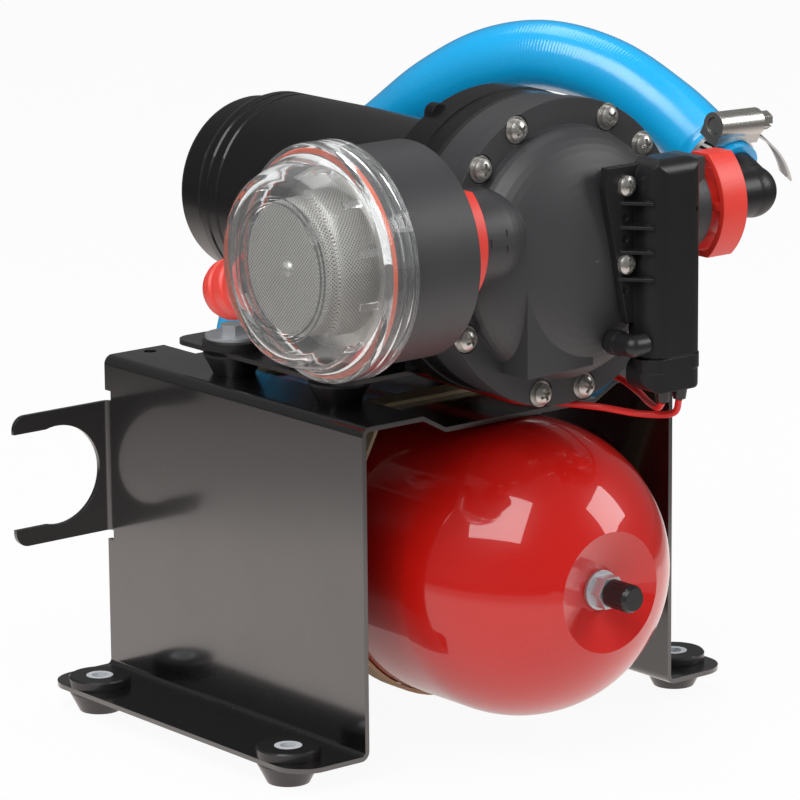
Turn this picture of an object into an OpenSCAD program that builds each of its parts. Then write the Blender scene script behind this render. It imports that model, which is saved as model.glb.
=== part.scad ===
// Water pressure set for a caravan: five-chamber diaphragm pump with strainer and pressure switch,
// standing on a folded steel bracket that carries a small pressure tank.
// +Z is up, -Y is the front (pump head and tank valve), the strainer points to -X. Millimetres.

/* [Bracket] */
// Width across the two side plates
bracket_w = 166; // [160:1:180]
// Depth from front to back
bracket_d = 176; // [170:1:186]
// Height from the underside of the foot flanges to the top
bracket_h = 138; // [134:1:146]
// Sheet thickness of bracket and pump plate
sheet = 2; // [1.5:0.1:2.4]
// Width of the foot flanges
flange_w = 35; // [32:1:42]
// Width of the raised strips along the top
strip_w = 31.4; // [30.6:0.2:33]
// Depth of the channel between the strips
channel_depth = 6.3; // [5:0.1:7.5]
// Length of the fork beside the rear edge
fork_len = 48.5; // [44:0.5:56]
// Diameter of the fork opening
fork_bore = 43; // [38:0.5:45]

/* [Mounts] */
// Height of a rubber mount below its plate
foot_h = 9; // [8:0.5:12]
// Height of a rubber mount above its plate
mount_top_h = 4; // [3:0.5:6]
// Outer radius of a rubber mount
mount_r = 13.2; // [12.4:0.2:13.6]
// Foot holes left to right
foot_span_x = 210; // [206:1:216]
// Foot holes front to back
foot_span_y = 131; // [110:1:138]
// Bore of the mount sleeves
mount_bore = 6.6; // [6.4:0.1:7.2]
// Pump mounts left to right
pump_span_x = 121; // [118:1:126]

/* [Tank] */
// Outer radius of the pressure tank
tank_r = 62; // [58:0.5:62]
// Overall length of the tank shell
tank_len = 207.5; // [196:0.5:210]
// Wall of the tank shell
tank_wall = 1.6; // [1.2:0.1:2.4]
// How far the tank stands out in front of the bracket
tank_front = 60; // [56:0.5:62]

/* [Pump] */
// Radius of the motor
motor_r = 42; // [40:0.5:42]
// Length of the motor can
motor_len = 123; // [118:1:126]
// Clearance under the motor
motor_lift = 11; // [10.5:0.5:14]
// Outer radius of the head flange
head_r = 62.5; // [62:0.1:63]
// Radius of the screw circle
screw_circle = 57.5; // [57.2:0.1:58]
// How far the head flange stands out in front of the bracket
head_overhang = 25.5; // [24:0.5:30]
// Height of the head dome
dome_h = 21; // [19.5:0.5:22]
// Height of the ports above the pump axis
port_rise = 12.4; // [12:0.1:12.8]
// Tilt of the wobble hub
wobble_tilt = 4; // [2.5:0.25:4]

/* [Strainer] */
// Outer radius of the strainer body
strainer_r = 42.8; // [41.5:0.1:43.2]
// Length of the strainer body without its neck
strainer_len = 32.7; // [30:0.1:38]
// Outer radius of the screwed collar of the clear cap
collar_r = 46.7; // [46.4:0.1:48]
// Angle of the inlet tail below level
inlet_drop = 17; // [10:1:22]

/* [Pressure switch] */
// Height of the switch housing
switch_h = 94; // [92:1:98]
// Width of the switch housing
switch_w = 28; // [26:0.5:29]

/* [Hose and wires] */
// Outer radius of the hose
hose_r = 14.8; // [14.2:0.1:15]
// Bore radius of the hose
hose_bore_r = 9.8; // [9.6:0.1:10]
// Radius of a wire
wire_r = 1.4; // [1:0.1:1.5]

/* [Hidden] */
$fn = 96;
// Fit of a turning shaft or a pressed ring
fit = 0.03;
// Gap between pieces that lie against each other
lay = 0.1;
// Gap between a screw and its hole
screw_gap = 0.15;
// Gap between curved faces that pass each other
pass = 0.35;

top_z = foot_h + bracket_h;
channel_z = top_z - channel_depth;
half_w = bracket_w / 2;
half_d = bracket_d / 2;
slope_w = 11.6;
channel_x = half_w - strip_w - slope_w;
bend_r = 2;
foot_x = foot_span_x / 2;
foot_y = foot_span_y / 2;
pump_x = pump_span_x / 2;
pump_y_rear = 26;
pump_y_front = -45;
groove_r = 7.4;
sleeve_r = 5.7;
bolt_r = 3;

tank_z = channel_z - sheet - 0.7 - tank_r;
tank_y0 = -half_d - tank_front;
tank_c0 = tank_y0 + tank_r;
tank_c1 = tank_y0 + tank_len - tank_r;
tank_y1 = tank_y0 + tank_len;
dish_r = 25;
dish_depth = 12;
dish_floor = 8.4;
dish_slope = (dish_depth - tank_r + sqrt(tank_r * tank_r - dish_r * dish_r)) / (dish_r - dish_floor);
stem_r = 4;
stem_y = tank_y0 - 5;
cap_len = 13;
strap_w = 11.6;
strap_t = 1.6;
strap_x = channel_x - 3.5;
strap_y = [-40, 40];

base_z = top_z + foot_h;
base_top = base_z + sheet;
pump_z = base_top + motor_lift + motor_r;
head_y = -half_d - head_overhang;
flange_t = 7;
plate_t = 14;
diaphragm_t = 2.5;
plate_y = head_y + flange_t;
diaphragm_y = plate_y + plate_t;
drive_y = diaphragm_y + diaphragm_t;
ring_y0 = drive_y + 9.5;
ring_y1 = ring_y0 + 13.5;
motor_y = ring_y1 + 22;
cap_y = motor_y + motor_len;
end_r = motor_r - 4;
motor_end = cap_y + 16;
body_r = head_r - 0.7;
dome_r = screw_circle - 6;
base_y0 = ring_y1 + 9;
base_y1 = 57;
pair_half = 11.5;
screw_angles = [for (k = [0:4]) for (s = [-1, 1]) -90 + 72 * k + s * pair_half];
chamber_angles = [for (k = [0:4]) 18 + 72 * k];
chamber_circle = 36;
chamber_r = 14;
chamber_depth = 11.5;
screw_r = 2.5;
shaft_r = 4;
hub_gap = 3.2;
wobble_t = 5;
wobble_y = drive_y + hub_gap + wobble_t / 2;
journal_r = 6;
wobble_ring_r = 13;

port_y = head_y - 1;
port_z = pump_z + port_rise;
boss_x = head_r - 0.2;
boss_r = 19.5;
bullet_len = 29;
boss_top = 21.4;
neck_r = 12;
neck_bore = 8.5;
clip_x0 = boss_x + 0.7;
clip_w = 13;
clip_x1 = clip_x0 + clip_w;
inlet_step = 4.6;
inlet_boss = boss_x - inlet_step;
strainer_x0 = clip_x1 + 3.3;
strainer_x1 = strainer_x0 + strainer_len;
neck_len = 9;
mouth_x = strainer_x1 + neck_len;
inlet_x = strainer_x0 + strainer_len / 2;
barb_r = 9.2;
tail_r = 9.6;
tail_rib_r = 10.6;
tail_len = 101;

elbow_x = 101.5;
elbow_r = 10.6;
elbow_bore = 7.2;
elbow_rise = 28;
elbow_dir = [0, cos(elbow_rise), sin(elbow_rise)];
elbow_at = [elbow_x, port_y, port_z];
hose_start = 13;
straight = 11;
clamp_at = 21;
clamp_turn = 2;
clamp_bite = 1.2;
clamp_w = 9;
clamp_r = hose_r - clamp_bite;
clamp_t = 0.8;

tee_y = half_d + 16;
tee_at = [0, tee_y, tank_z];
tee_r = 13;
tee_barb = 19;
tee_lean = 29;
tee_turn = 45;
tee_dir = [sin(tee_lean) * cos(tee_turn), sin(tee_lean) * sin(tee_turn), cos(tee_lean)];

switch_x = 16.7;
switch_y = head_y - 24.5;
switch_depth = 12;
switch_z0 = pump_z - 55;
switch_z1 = switch_z0 + switch_h;
switch_split = switch_z0 + 14;
switch_screw_z = [switch_z0 + 52.5, switch_z0 + 84.2];
switch_wall = 2.5;
switch_round = 8;
pad_y = switch_y + 3.5;
sense_x = 10.5;
sense_z = pump_z - 35;

hose_route = [
    elbow_at + hose_start * elbow_dir,
    elbow_at + (hose_start + straight) * elbow_dir,
    elbow_at + (hose_start + 2 * straight) * elbow_dir,
    [98.5, -65.4, pump_z + 40.1],
    [88.6, -41.7, pump_z + 54.2],
    [76.4, -15.9, pump_z + 60.1],
    [66.4, 10, pump_z + 55],
    [60.3, 37.9, pump_z + 40.4],
    [58.8, 65.1, pump_z + 22.3],
    [54.9, 93.1, pump_z + 1.3],
    [45.5, 116.7, pump_z - 25.2],
    [32.5, 127.4, pump_z - 54.8],
    tee_at + 62 * tee_dir,
    tee_at + 40.5 * tee_dir,
    tee_at + tee_barb * tee_dir,
];
boot_y = switch_y - 6;
boot_x = [switch_x + 10, switch_x + 19];
entry_y = cap_y + 5;
wire_low = channel_z + 6.5;
motor_wire_route = [
    [boot_x[1], boot_y, switch_z0 - 5],
    [boot_x[1] + 1, boot_y + 5, wire_low - 3.5],
    [29, head_y - 14, wire_low - 4.5],
    [16, head_y - 4, wire_low - 1.5],
    [5, head_y + 10, wire_low - 0.5],
    [-2, head_y + 26, wire_low - 1.5],
    [-3, ring_y1, wire_low - 1],
    [-3, -20, wire_low],
    [-3, 30, wire_low + 2],
    [-3, 60, wire_low + 5],
    [-3, entry_y - 3, wire_low + 15],
    [-3, entry_y, pump_z - end_r + 2],
];
supply_wire_route = [
    [boot_x[0], boot_y, switch_z0 - 5],
    [boot_x[0] + 1, boot_y + 4, wire_low + 0.5],
    [34, head_y - 14, wire_low - 0.5],
    [40, head_y, wire_low + 1],
    [42, head_y + 16, wire_low + 4],
    [40, head_y + 36, wire_low + 3],
    [36, base_y0, wire_low + 2],
    [22, -14, wire_low + 1],
    [8, 30, wire_low + 2],
    [3, 60, wire_low + 5],
    [3, entry_y - 3, wire_low + 15],
    [3, entry_y, pump_z - end_r + 2],
];

// Point on a smooth curve through four neighbours
function curve(a, b, c, d, t) =
    0.5 * ((2 * b) + (c - a) * t + (2 * a - 5 * b + 4 * c - d) * t * t + (3 * b - a - 3 * c + d) * t * t * t);
// Route point with the ends carried on
function at(route, i) =
    i < 0 ? 2 * route[0] - route[1] :
    i >= len(route) ? 2 * route[len(route) - 1] - route[len(route) - 2] :
    route[i];
// Route made smooth with so many steps between two points
function smooth(route, steps) = [
    for (i = [0:len(route) - 2]) for (s = [0:steps - 1])
        curve(at(route, i - 1), route[i], route[i + 1], at(route, i + 2), s / steps),
    route[len(route) - 1],
];
function unit(v) = v / norm(v);
// Direction of the path at a ring
function heading(path, i) = unit(path[min(i + 1, len(path) - 1)] - path[max(i - 1, 0)]);
// One ring of points round the path
function ring(path, i, r, sides) =
    let (h = heading(path, i), u = unit(cross(h, [1, 0, 0])), v = cross(h, u))
    [for (k = [0:sides - 1]) path[i] + r * (cos(360 * k / sides) * u + sin(360 * k / sides) * v)];

module y_round(y, h, r, r_end = -1) {
    translate([0, y, pump_z]) rotate([-90, 0, 0])
        cylinder(h = h, r1 = r, r2 = r_end < 0 ? r : r_end);
}

module x_round(x, h, r) {
    translate([x, port_y, port_z]) rotate([0, 90, 0]) cylinder(h = h, r = r);
}

module tank_round(y, h, r, r_end = -1) {
    translate([0, y, tank_z]) rotate([-90, 0, 0])
        cylinder(h = h, r1 = r, r2 = r_end < 0 ? r : r_end);
}

// Place on the pump axis at an angle and radius
module on_circle(angle, r, y) {
    translate([r * cos(angle), y, pump_z + r * sin(angle)]) children();
}

// Rectangle with round corners
module round_rect(w, h, r) {
    union() {
        translate([r, 0]) square([w - 2 * r, h]);
        translate([0, r]) square([w, h - 2 * r]);
        for (x = [r, w - r]) for (y = [r, h - r]) translate([x, y]) circle(r);
    }
}

// Solid cord along a route
module cord(route, steps, r, sides) {
    path = smooth(route, steps);
    n = len(path);
    points = [for (i = [0:n - 1]) each ring(path, i, r, sides)];
    skin = [for (i = [0:n - 2]) for (k = [0:sides - 1])
        [i * sides + k, i * sides + (k + 1) % sides, (i + 1) * sides + (k + 1) % sides, (i + 1) * sides + k]];
    near = [for (k = [0:sides - 1]) sides - 1 - k];
    far = [for (k = [0:sides - 1]) (n - 1) * sides + k];
    polyhedron(points, concat([near], skin, [far]));
}

// Hollow tube along a route
module tube(route, steps, r, bore, sides, pinched = 0, bite = 0) {
    path = smooth(route, steps);
    n = len(path);
    m = n * sides;
    outer = [for (i = [0:n - 1]) each ring(path, i, i < pinched ? r - bite : r, sides)];
    inner = [for (i = [0:n - 1]) each ring(path, i, bore, sides)];
    skin = [for (i = [0:n - 2]) for (k = [0:sides - 1])
        [i * sides + k, i * sides + (k + 1) % sides, (i + 1) * sides + (k + 1) % sides, (i + 1) * sides + k]];
    lining = [for (i = [0:n - 2]) for (k = [0:sides - 1])
        [m + i * sides + k, m + (i + 1) * sides + k, m + (i + 1) * sides + (k + 1) % sides,
         m + i * sides + (k + 1) % sides]];
    near = [for (k = [0:sides - 1]) [(k + 1) % sides, k, m + k, m + (k + 1) % sides]];
    last = (n - 1) * sides;
    far = [for (k = [0:sides - 1])
        [last + k, last + (k + 1) % sides, m + last + (k + 1) % sides, m + last + k]];
    polyhedron(concat(outer, inner), concat(skin, lining, near, far));
}

// Every place a rubber mount sits: feet in the flanges, pump mounts in the pump plate
module at_mounts() {
    for (x = [-foot_x, foot_x]) for (y = [-foot_y, foot_y]) translate([x, y, foot_h]) children();
    at_pump_mounts() children();
}

module at_pump_mounts() {
    for (x = [-pump_x, pump_x]) for (y = [pump_y_front, pump_y_rear]) translate([x, y, base_z]) children();
}

module bracket_side() {
    union() {
        translate([half_w - sheet, foot_h + sheet + bend_r])
            square([sheet, bracket_h - 2 * sheet - 2 * bend_r]);
        intersection() {
            translate([half_w - sheet - bend_r, top_z - sheet - bend_r]) difference() {
                circle(bend_r + sheet);
                circle(bend_r);
            }
            translate([half_w - sheet - bend_r, top_z - sheet - bend_r]) square(bend_r + sheet);
        }
        intersection() {
            translate([half_w + bend_r, foot_h + sheet + bend_r]) difference() {
                circle(bend_r + sheet);
                circle(bend_r);
            }
            translate([half_w - sheet, foot_h]) square(bend_r + sheet);
        }
        translate([half_w - strip_w, top_z - sheet]) square([strip_w - sheet - bend_r, sheet]);
        polygon([
            [half_w - strip_w, top_z], [channel_x, channel_z],
            [channel_x, channel_z - sheet], [half_w - strip_w, top_z - sheet],
        ]);
        translate([-0.01, channel_z - sheet]) square([channel_x + 0.01, sheet]);
    }
}

module fork() {
    fork_mid = foot_h + bracket_h * 0.654;
    fork_half = fork_bore / 2 + 6.8;
    tip = 6;
    x_in = half_w + bend_r;
    x_out = half_w + fork_len;
    eye_x = x_out - 22;
    translate([0, half_d, 0]) rotate([90, 0, 0]) linear_extrude(sheet) difference() {
        union() {
            translate([-x_out + tip, fork_mid - fork_half]) square([x_out - x_in - tip, 2 * fork_half]);
            translate([-x_out, fork_mid - fork_half + tip]) square([x_out - x_in, 2 * (fork_half - tip)]);
            for (s = [-1, 1]) translate([-x_out + tip, fork_mid + s * (fork_half - tip)]) circle(tip);
        }
        translate([-eye_x, fork_mid]) circle(fork_bore / 2);
        translate([-x_out - 1, fork_mid - fork_bore / 2 + 0.8]) square([x_out - eye_x + 1, fork_bore - 1.6]);
    }
    intersection() {
        translate([-x_in, half_d - sheet - bend_r, fork_mid - fork_half]) difference() {
            cylinder(h = 2 * fork_half, r = bend_r + sheet);
            translate([0, 0, -1]) cylinder(h = 2 * fork_half + 2, r = bend_r);
        }
        translate([-x_in, half_d - sheet - bend_r, fork_mid - fork_half]) cube([9, 9, 2 * fork_half]);
    }
}

module bracket() {
    fork_mid = foot_h + bracket_h * 0.654;
    fork_half = fork_bore / 2 + 6.8;
    notch = 4.4;
    corner = 14;
    color("#141414") difference() {
        union() {
            difference() {
                translate([0, half_d, 0]) rotate([90, 0, 0]) linear_extrude(bracket_d) union() {
                    bracket_side();
                    mirror([1, 0]) bracket_side();
                }
                translate([-half_w - 1, half_d - sheet - bend_r, fork_mid - fork_half - notch])
                    cube([sheet + 2, 20, 2 * fork_half + 2 * notch]);
            }
            for (s = [0, 1]) mirror([s, 0, 0]) translate([half_w + bend_r, -half_d, foot_h])
                linear_extrude(sheet)
                union() {
                    square([flange_w - bend_r - corner, bracket_d]);
                    translate([0, corner]) square([flange_w - bend_r, bracket_d - 2 * corner]);
                    for (y = [corner, bracket_d - corner])
                        translate([flange_w - bend_r - corner, y]) circle(corner);
                }
            fork();
        }
        for (x = [-foot_x, foot_x]) for (y = [-foot_y, foot_y])
            translate([x, y, foot_h - 1]) cylinder(h = sheet + 2, r = groove_r + lay);
        for (x = [-pump_x, pump_x]) for (y = [pump_y_front, pump_y_rear])
            translate([x, y, top_z - sheet - 1]) cylinder(h = sheet + 2, r = bolt_r + screw_gap);
        for (s = [-1, 1]) for (y = strap_y)
            translate([s * (strap_x + 1.2) - 2.2, y - strap_w / 2 - 0.5, channel_z - sheet - 3])
                cube([4.4, strap_w + 1, sheet + 6]);
        translate([-half_w + 19.5, half_d - 6.5, top_z - sheet - 1]) cylinder(h = sheet + 2, r = 2.75);
    }
}

module rubber_mounts() {
    color("#1b1b1b") at_mounts() rotate_extrude() polygon([
        [sleeve_r + lay, -foot_h], [mount_r - 4.4, -foot_h], [mount_r - 0.3, -1], [mount_r - 0.3, 0],
        [groove_r, 0], [groove_r, sheet], [mount_r, sheet], [mount_r, sheet + mount_top_h - 0.6],
        [mount_r - 0.6, sheet + mount_top_h], [sleeve_r + lay, sheet + mount_top_h],
    ]);
}

module mount_sleeves() {
    color("#b9bbbd") at_mounts() translate([0, 0, -foot_h]) difference() {
        cylinder(h = foot_h + sheet + mount_top_h, r = sleeve_r);
        translate([0, 0, -1]) cylinder(h = foot_h + sheet + mount_top_h + 2, r = mount_bore / 2);
    }
}

module mount_washers() {
    color("#8d9094") at_pump_mounts() translate([0, 0, sheet + mount_top_h]) difference() {
        cylinder(h = 1.5, r = mount_r - 1.2);
        translate([0, 0, -1]) cylinder(h = 4, r = bolt_r + screw_gap);
    }
}

module mount_bolts() {
    grip = foot_h + sheet + mount_top_h + 1.5;
    color("#3a3c3e") at_pump_mounts() union() {
        translate([0, 0, sheet + mount_top_h + 1.5]) cylinder(h = 4.2, r = 5.8, $fn = 6);
        translate([0, 0, -foot_h - sheet - 7]) cylinder(h = grip + sheet + 7.1, r = bolt_r);
    }
}

module mount_nuts() {
    color("#9c9fa3") at_pump_mounts() translate([0, 0, -foot_h - sheet - 5]) difference() {
        cylinder(h = 5, r = 5.8, $fn = 6);
        translate([0, 0, -1]) cylinder(h = 7, r = bolt_r + fit);
    }
}

module base_plate() {
    half = pump_x + 9.8;
    color("#161616") union() {
        difference() {
            translate([-half, base_y0, base_z])
                linear_extrude(sheet) round_rect(2 * half, base_y1 - base_y0, 9);
            at_pump_mounts() translate([0, 0, -1]) cylinder(h = sheet + 2, r = groove_r + lay);
        }
        for (y = [-14, 36]) translate([0, y, 0]) rotate([90, 0, 0]) linear_extrude(3) difference() {
            translate([-26, base_top - 0.1]) square([52, motor_lift + 7]);
            translate([0, pump_z]) circle(motor_r + lay);
        }
    }
}

module drive_housing() {
    foot_y0 = base_y0 + 2;
    color("#151617") difference() {
        union() {
            y_round(drive_y, ring_y0 - drive_y + 0.1, body_r);
            y_round(ring_y0, ring_y1 - ring_y0, head_r);
            for (a = [118, 141, 188, 210]) on_circle(a, head_r - 1.2, ring_y1 - 5)
                rotate([-90, 0, 0]) cylinder(h = 5, r = 4.2);
            y_round(ring_y1 - 0.1, motor_y - ring_y1 + 0.1, head_r - 6, motor_r + 2);
            translate([-26, foot_y0, base_top]) cube([52, motor_y - foot_y0, motor_lift + 6]);
        }
        y_round(drive_y - 1, ring_y1 - drive_y - 5, screw_circle - 3.5);
        y_round(ring_y1 - 7, 8.5, 16);
        y_round(ring_y1 - 7, 16, 11);
        y_round(ring_y1 - 7, 30, 6);
        y_round(motor_y - 9, 10, motor_r - 4);
        for (a = screw_angles) on_circle(a, screw_circle, drive_y - 1)
            rotate([-90, 0, 0]) cylinder(h = ring_y1 - drive_y - 2, r = screw_r + screw_gap);
    }
}

module motor_can() {
    color("#17181a") translate([0, motor_y, pump_z]) rotate([-90, 0, 0]) rotate_extrude() polygon([
        [motor_r - 2, 0], [motor_r, 0], [motor_r, motor_len - 17.6], [motor_r - 0.7, motor_len - 17],
        [motor_r - 0.7, motor_len - 16.2], [motor_r, motor_len - 15.6], [motor_r, motor_len - 10.8],
        [motor_r - 0.7, motor_len - 10.2], [motor_r - 0.7, motor_len - 9.4], [motor_r, motor_len - 8.8],
        [motor_r, motor_len - 5],
        [motor_r - 0.7, motor_len - 2.6], [motor_r - 2.4, motor_len - 0.7], [end_r + 0.6, motor_len],
        [end_r - 5, motor_len], [end_r - 5, motor_len - 2], [motor_r - 3.4, motor_len - 2],
        [motor_r - 2, motor_len - 3.6],
    ]);
}

module motor_end_cap() {
    depth = motor_end - cap_y;
    color("#131415") difference() {
        translate([0, cap_y, pump_z]) rotate([-90, 0, 0]) rotate_extrude() polygon([
            [0, 0], [end_r - 0.7, 0], [end_r - 0.7, 1.2], [end_r, 1.9], [end_r, depth - 3.4],
            [end_r - 0.6, depth - 1.7], [end_r - 1.7, depth - 0.5], [end_r - 3.2, depth], [0, depth],
        ]);
        y_round(cap_y - 1, 5, end_r - 5);
        y_round(cap_y - 1, 9, 9.5 + fit);
        for (x = [-3, 3]) translate([x, entry_y, pump_z - end_r - 1]) cylinder(h = 6, r = wire_r + 0.4);
    }
}

module field_magnets() {
    color("#4b4744") for (a = [25, 205]) translate([0, motor_y + 15, pump_z]) rotate([-90, a, 0])
        rotate_extrude(angle = 130) translate([motor_r - 11, 0]) square([8.9, motor_len - 53]);
}

module brush_plate() {
    color("#6b4a2c") difference() {
        y_round(cap_y - 20, 2.5, motor_r - 2 - lay);
        y_round(cap_y - 21, 5, 13);
    }
}

module carbon_brushes() {
    color("#2b2b2d") for (s = [0, 1]) mirror([s, 0, 0]) translate([11.4, cap_y - 30, pump_z - 4])
        cube([12, 9.9, 8]);
}

module shaft_bearings() {
    color("#c3c6c9") union() {
        difference() {
            y_round(ring_y1 + 0.7, 8, 11 - fit);
            y_round(ring_y1, 12, shaft_r + fit);
        }
        difference() {
            y_round(cap_y + 2, 6, 9.5);
            y_round(cap_y, 12, shaft_r + fit);
        }
    }
}

module rotor_shaft() {
    color("#d0d2d4") y_round(wobble_y + 7, cap_y + 7.8 - wobble_y - 7, shaft_r);
}

module armature() {
    color("#7a3b1f") difference() {
        y_round(motor_y + 19, motor_len - 61, motor_r - 12);
        y_round(motor_y + 18, motor_len - 59, shaft_r + fit);
    }
}

module commutator() {
    color("#b8793f") difference() {
        y_round(cap_y - 33, 14, 11);
        y_round(cap_y - 34, 16, shaft_r + fit);
    }
}

// Axis of the wobble plate, leaning from the shaft
module leaning() {
    translate([0, wobble_y, pump_z]) rotate([wobble_tilt, 0, 0]) rotate([-90, 0, 0]) children();
}

module tilted_hub() {
    color("#8e9296") difference() {
        union() {
            leaning() translate([0, 0, -4]) cylinder(h = 11, r = journal_r);
            y_round(wobble_y + 5.5, 9, 10);
        }
        y_round(wobble_y + 6.9, 20, shaft_r + fit);
    }
}

module wobble_bearing() {
    color("#c3c6c9") leaning() translate([0, 0, -3.4]) difference() {
        cylinder(h = 6.8, r = wobble_ring_r);
        translate([0, 0, -1]) cylinder(h = 9, r = journal_r + fit);
    }
}

module wobble_plate() {
    color("#cfcfc8") leaning() translate([0, 0, -wobble_t / 2]) difference() {
        union() {
            cylinder(h = wobble_t, r = 20);
            for (a = chamber_angles) rotate([0, 0, -a]) {
                translate([15, -5, 0]) cube([chamber_circle - 15, 10, wobble_t]);
                translate([chamber_circle, 0, 0]) cylinder(h = wobble_t, r = 8);
            }
        }
        translate([0, 0, -1]) cylinder(h = wobble_t + 2, r = wobble_ring_r + fit);
    }
}

module pistons() {
    reach = 2 * hub_gap + diaphragm_t + 0.5;
    color("#b9bcae") leaning() for (a = chamber_angles) rotate([0, 0, -a])
        translate([chamber_circle, 0, -wobble_t / 2 - reach - 3]) union() {
            cylinder(h = reach + 3, r = 5.5);
            cylinder(h = 3, r = 10);
        }
}

module diaphragm() {
    color("#202020") difference() {
        y_round(diaphragm_y, diaphragm_t, body_r);
        for (a = screw_angles) on_circle(a, screw_circle, diaphragm_y - 1)
            rotate([-90, 0, 0]) cylinder(h = 9, r = screw_r + screw_gap);
        for (a = chamber_angles) on_circle(a, chamber_circle, diaphragm_y - 1)
            rotate([-90, 0, 0]) cylinder(h = 9, r = 7.5);
    }
}

module valve_plate() {
    color("#2a2b2d") difference() {
        y_round(plate_y, plate_t, body_r);
        for (a = chamber_angles) {
            on_circle(a, chamber_circle, diaphragm_y - chamber_depth)
                rotate([-90, 0, 0]) cylinder(h = 20, r = chamber_r);
            on_circle(a, chamber_circle, plate_y - 1) rotate([-90, 0, 0]) cylinder(h = 9, r = 1.7);
            for (b = [60, 180, 300]) on_circle(a, chamber_circle, plate_y - 1) rotate([-90, b, 0])
                translate([4.5, 0, 0]) cylinder(h = 9, r = 1.6);
            on_circle(a, chamber_circle - chamber_r + 2, plate_y - 1)
                rotate([-90, 0, 0]) cylinder(h = 9, r = 1.5);
        }
        for (a = screw_angles) on_circle(a, screw_circle, plate_y - 1)
            rotate([-90, 0, 0]) cylinder(h = 20, r = screw_r + screw_gap);
        y_round(plate_y - 1, 8, 2.7);
        for (s = [0, 1]) mirror([s, 0, 0])
            translate([chamber_circle + chamber_r - 0.5, plate_y - 1, port_z - 15.9]) cube([30, 9.6, 31.8]);
    }
}

module inlet_valves() {
    color("#3b3230") for (a = chamber_angles) union() {
        on_circle(a, chamber_circle, diaphragm_y - chamber_depth) rotate([-90, 0, 0]) cylinder(h = 1, r = 7);
        on_circle(a, chamber_circle, plate_y - 1) rotate([-90, 0, 0])
            cylinder(h = plate_t - chamber_depth + 1.5, r = 1.5);
    }
}

module outlet_valve() {
    color("#3b3230") union() {
        y_round(plate_y - 1.2, 1.2, 24.4);
        y_round(plate_y - 1.2, 7.5, 2.5);
    }
}

// Full-shouldered dome on a short skirt
module dome(r, h, step) {
    shoulder = 0.88;
    translate([0, head_y, pump_z]) rotate([90, 0, 0]) rotate_extrude() polygon(concat(
        [[0, -step], [r, -step]],
        [for (t = [0:6:84]) [r * pow(cos(t), shoulder), h * pow(sin(t), shoulder)]],
        [[0, h]]
    ));
}

// Pointed boss of a port, r at its mouth and grown by skin
module bullet(skin) {
    r = boss_r + skin;
    translate([-45, port_y, port_z]) rotate([0, 90, 0]) rotate_extrude() polygon(concat(
        [[0, 0]],
        [for (t = [0:0.1:0.95]) [r * (1 - pow(t, 1.8)), bullet_len * t]],
        [[0, bullet_len * 0.985]]
    ));
}

// Port boss on the left; edge is the distance of its mouth from the middle
module port_boss(edge) {
    difference() {
        union() {
            x_round(-edge, edge - 45, boss_r);
            bullet(0);
        }
        y_round(plate_y, 60, 2 * head_r);
    }
    intersection() {
        x_round(-edge, edge - 51, 15.4);
        translate([-edge, head_y, port_z - 15.8])
            cube([edge - chamber_circle - chamber_r - 0.2, flange_t + 8.3, 31.6]);
    }
}

// Raised arrow on the inlet boss that shows the way of the water
module flow_arrow() {
    intersection() {
        union() {
            x_round(-inlet_boss, inlet_boss - 45, boss_r + 0.4);
            bullet(0.4);
        }
        translate([-45, port_y, port_z + 1.4]) rotate([90, 0, 0]) linear_extrude(30) polygon([
            [-9.2, -1.7], [-1, -1.7], [-1, -4.6], [6.5, 0], [-1, 4.6], [-1, 1.7], [-9.2, 1.7],
        ]);
    }
}

module pump_head() {
    color("#242527") difference() {
        union() {
            y_round(head_y, flange_t, head_r);
            dome(dome_r, dome_h, 1);
            port_boss(inlet_boss);
            mirror([1, 0, 0]) port_boss(boss_x);
            flow_arrow();
            translate([0, head_y + 1, pump_z]) rotate([90, 0, 0]) linear_extrude(head_y + 1 - pad_y) polygon([
                [5, 35], [switch_x + switch_w, 35], [switch_x + switch_w, -24], [14.5, -24], [5, 20],
            ]);
            translate([switch_x + switch_w - 1, 0, port_z]) linear_extrude(boss_top) polygon([
                [0, head_y + 1], [boss_x - switch_x - switch_w + 1, head_y + 1],
                [boss_x - switch_x - switch_w + 1, pad_y + 5], [0, pad_y],
            ]);
            translate([0, head_y + 1, pump_z - 44.5]) linear_extrude(35) polygon([
                [-33, 0], [-33, -18], [4, -15], [4, 0],
            ]);
        }
        difference() {
            dome(dome_r - 4, dome_h - 3.5, flange_t + 1);
            y_round(head_y - 40, 60, 28);
            x_round(0, boss_x, 13);
        }
        y_round(head_y - dome_h * 0.7, 60, 25);
        x_round(0, boss_x + 1, 9);
        x_round(-boss_x - 1, boss_x - 35, 9);
        for (s = [0, 1]) mirror([s, 0, 0]) x_round(50.6, 20, neck_r + pass);
        for (a = screw_angles) {
            on_circle(a, screw_circle, head_y - 1)
                rotate([-90, 0, 0]) cylinder(h = 20, r = screw_r + screw_gap);
            on_circle(a, screw_circle, head_y - 12) rotate([-90, 0, 0]) cylinder(h = 13.2, r = 5.9);
        }
        translate([sense_x, head_y - dome_h - 10, sense_z]) rotate([-90, 0, 0]) cylinder(h = 30, r = 3.6);
        for (z = switch_screw_z) translate([switch_x - 5, pad_y - 1, z])
            rotate([-90, 0, 0]) cylinder(h = 12, r = 1.7);
    }
}

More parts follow.
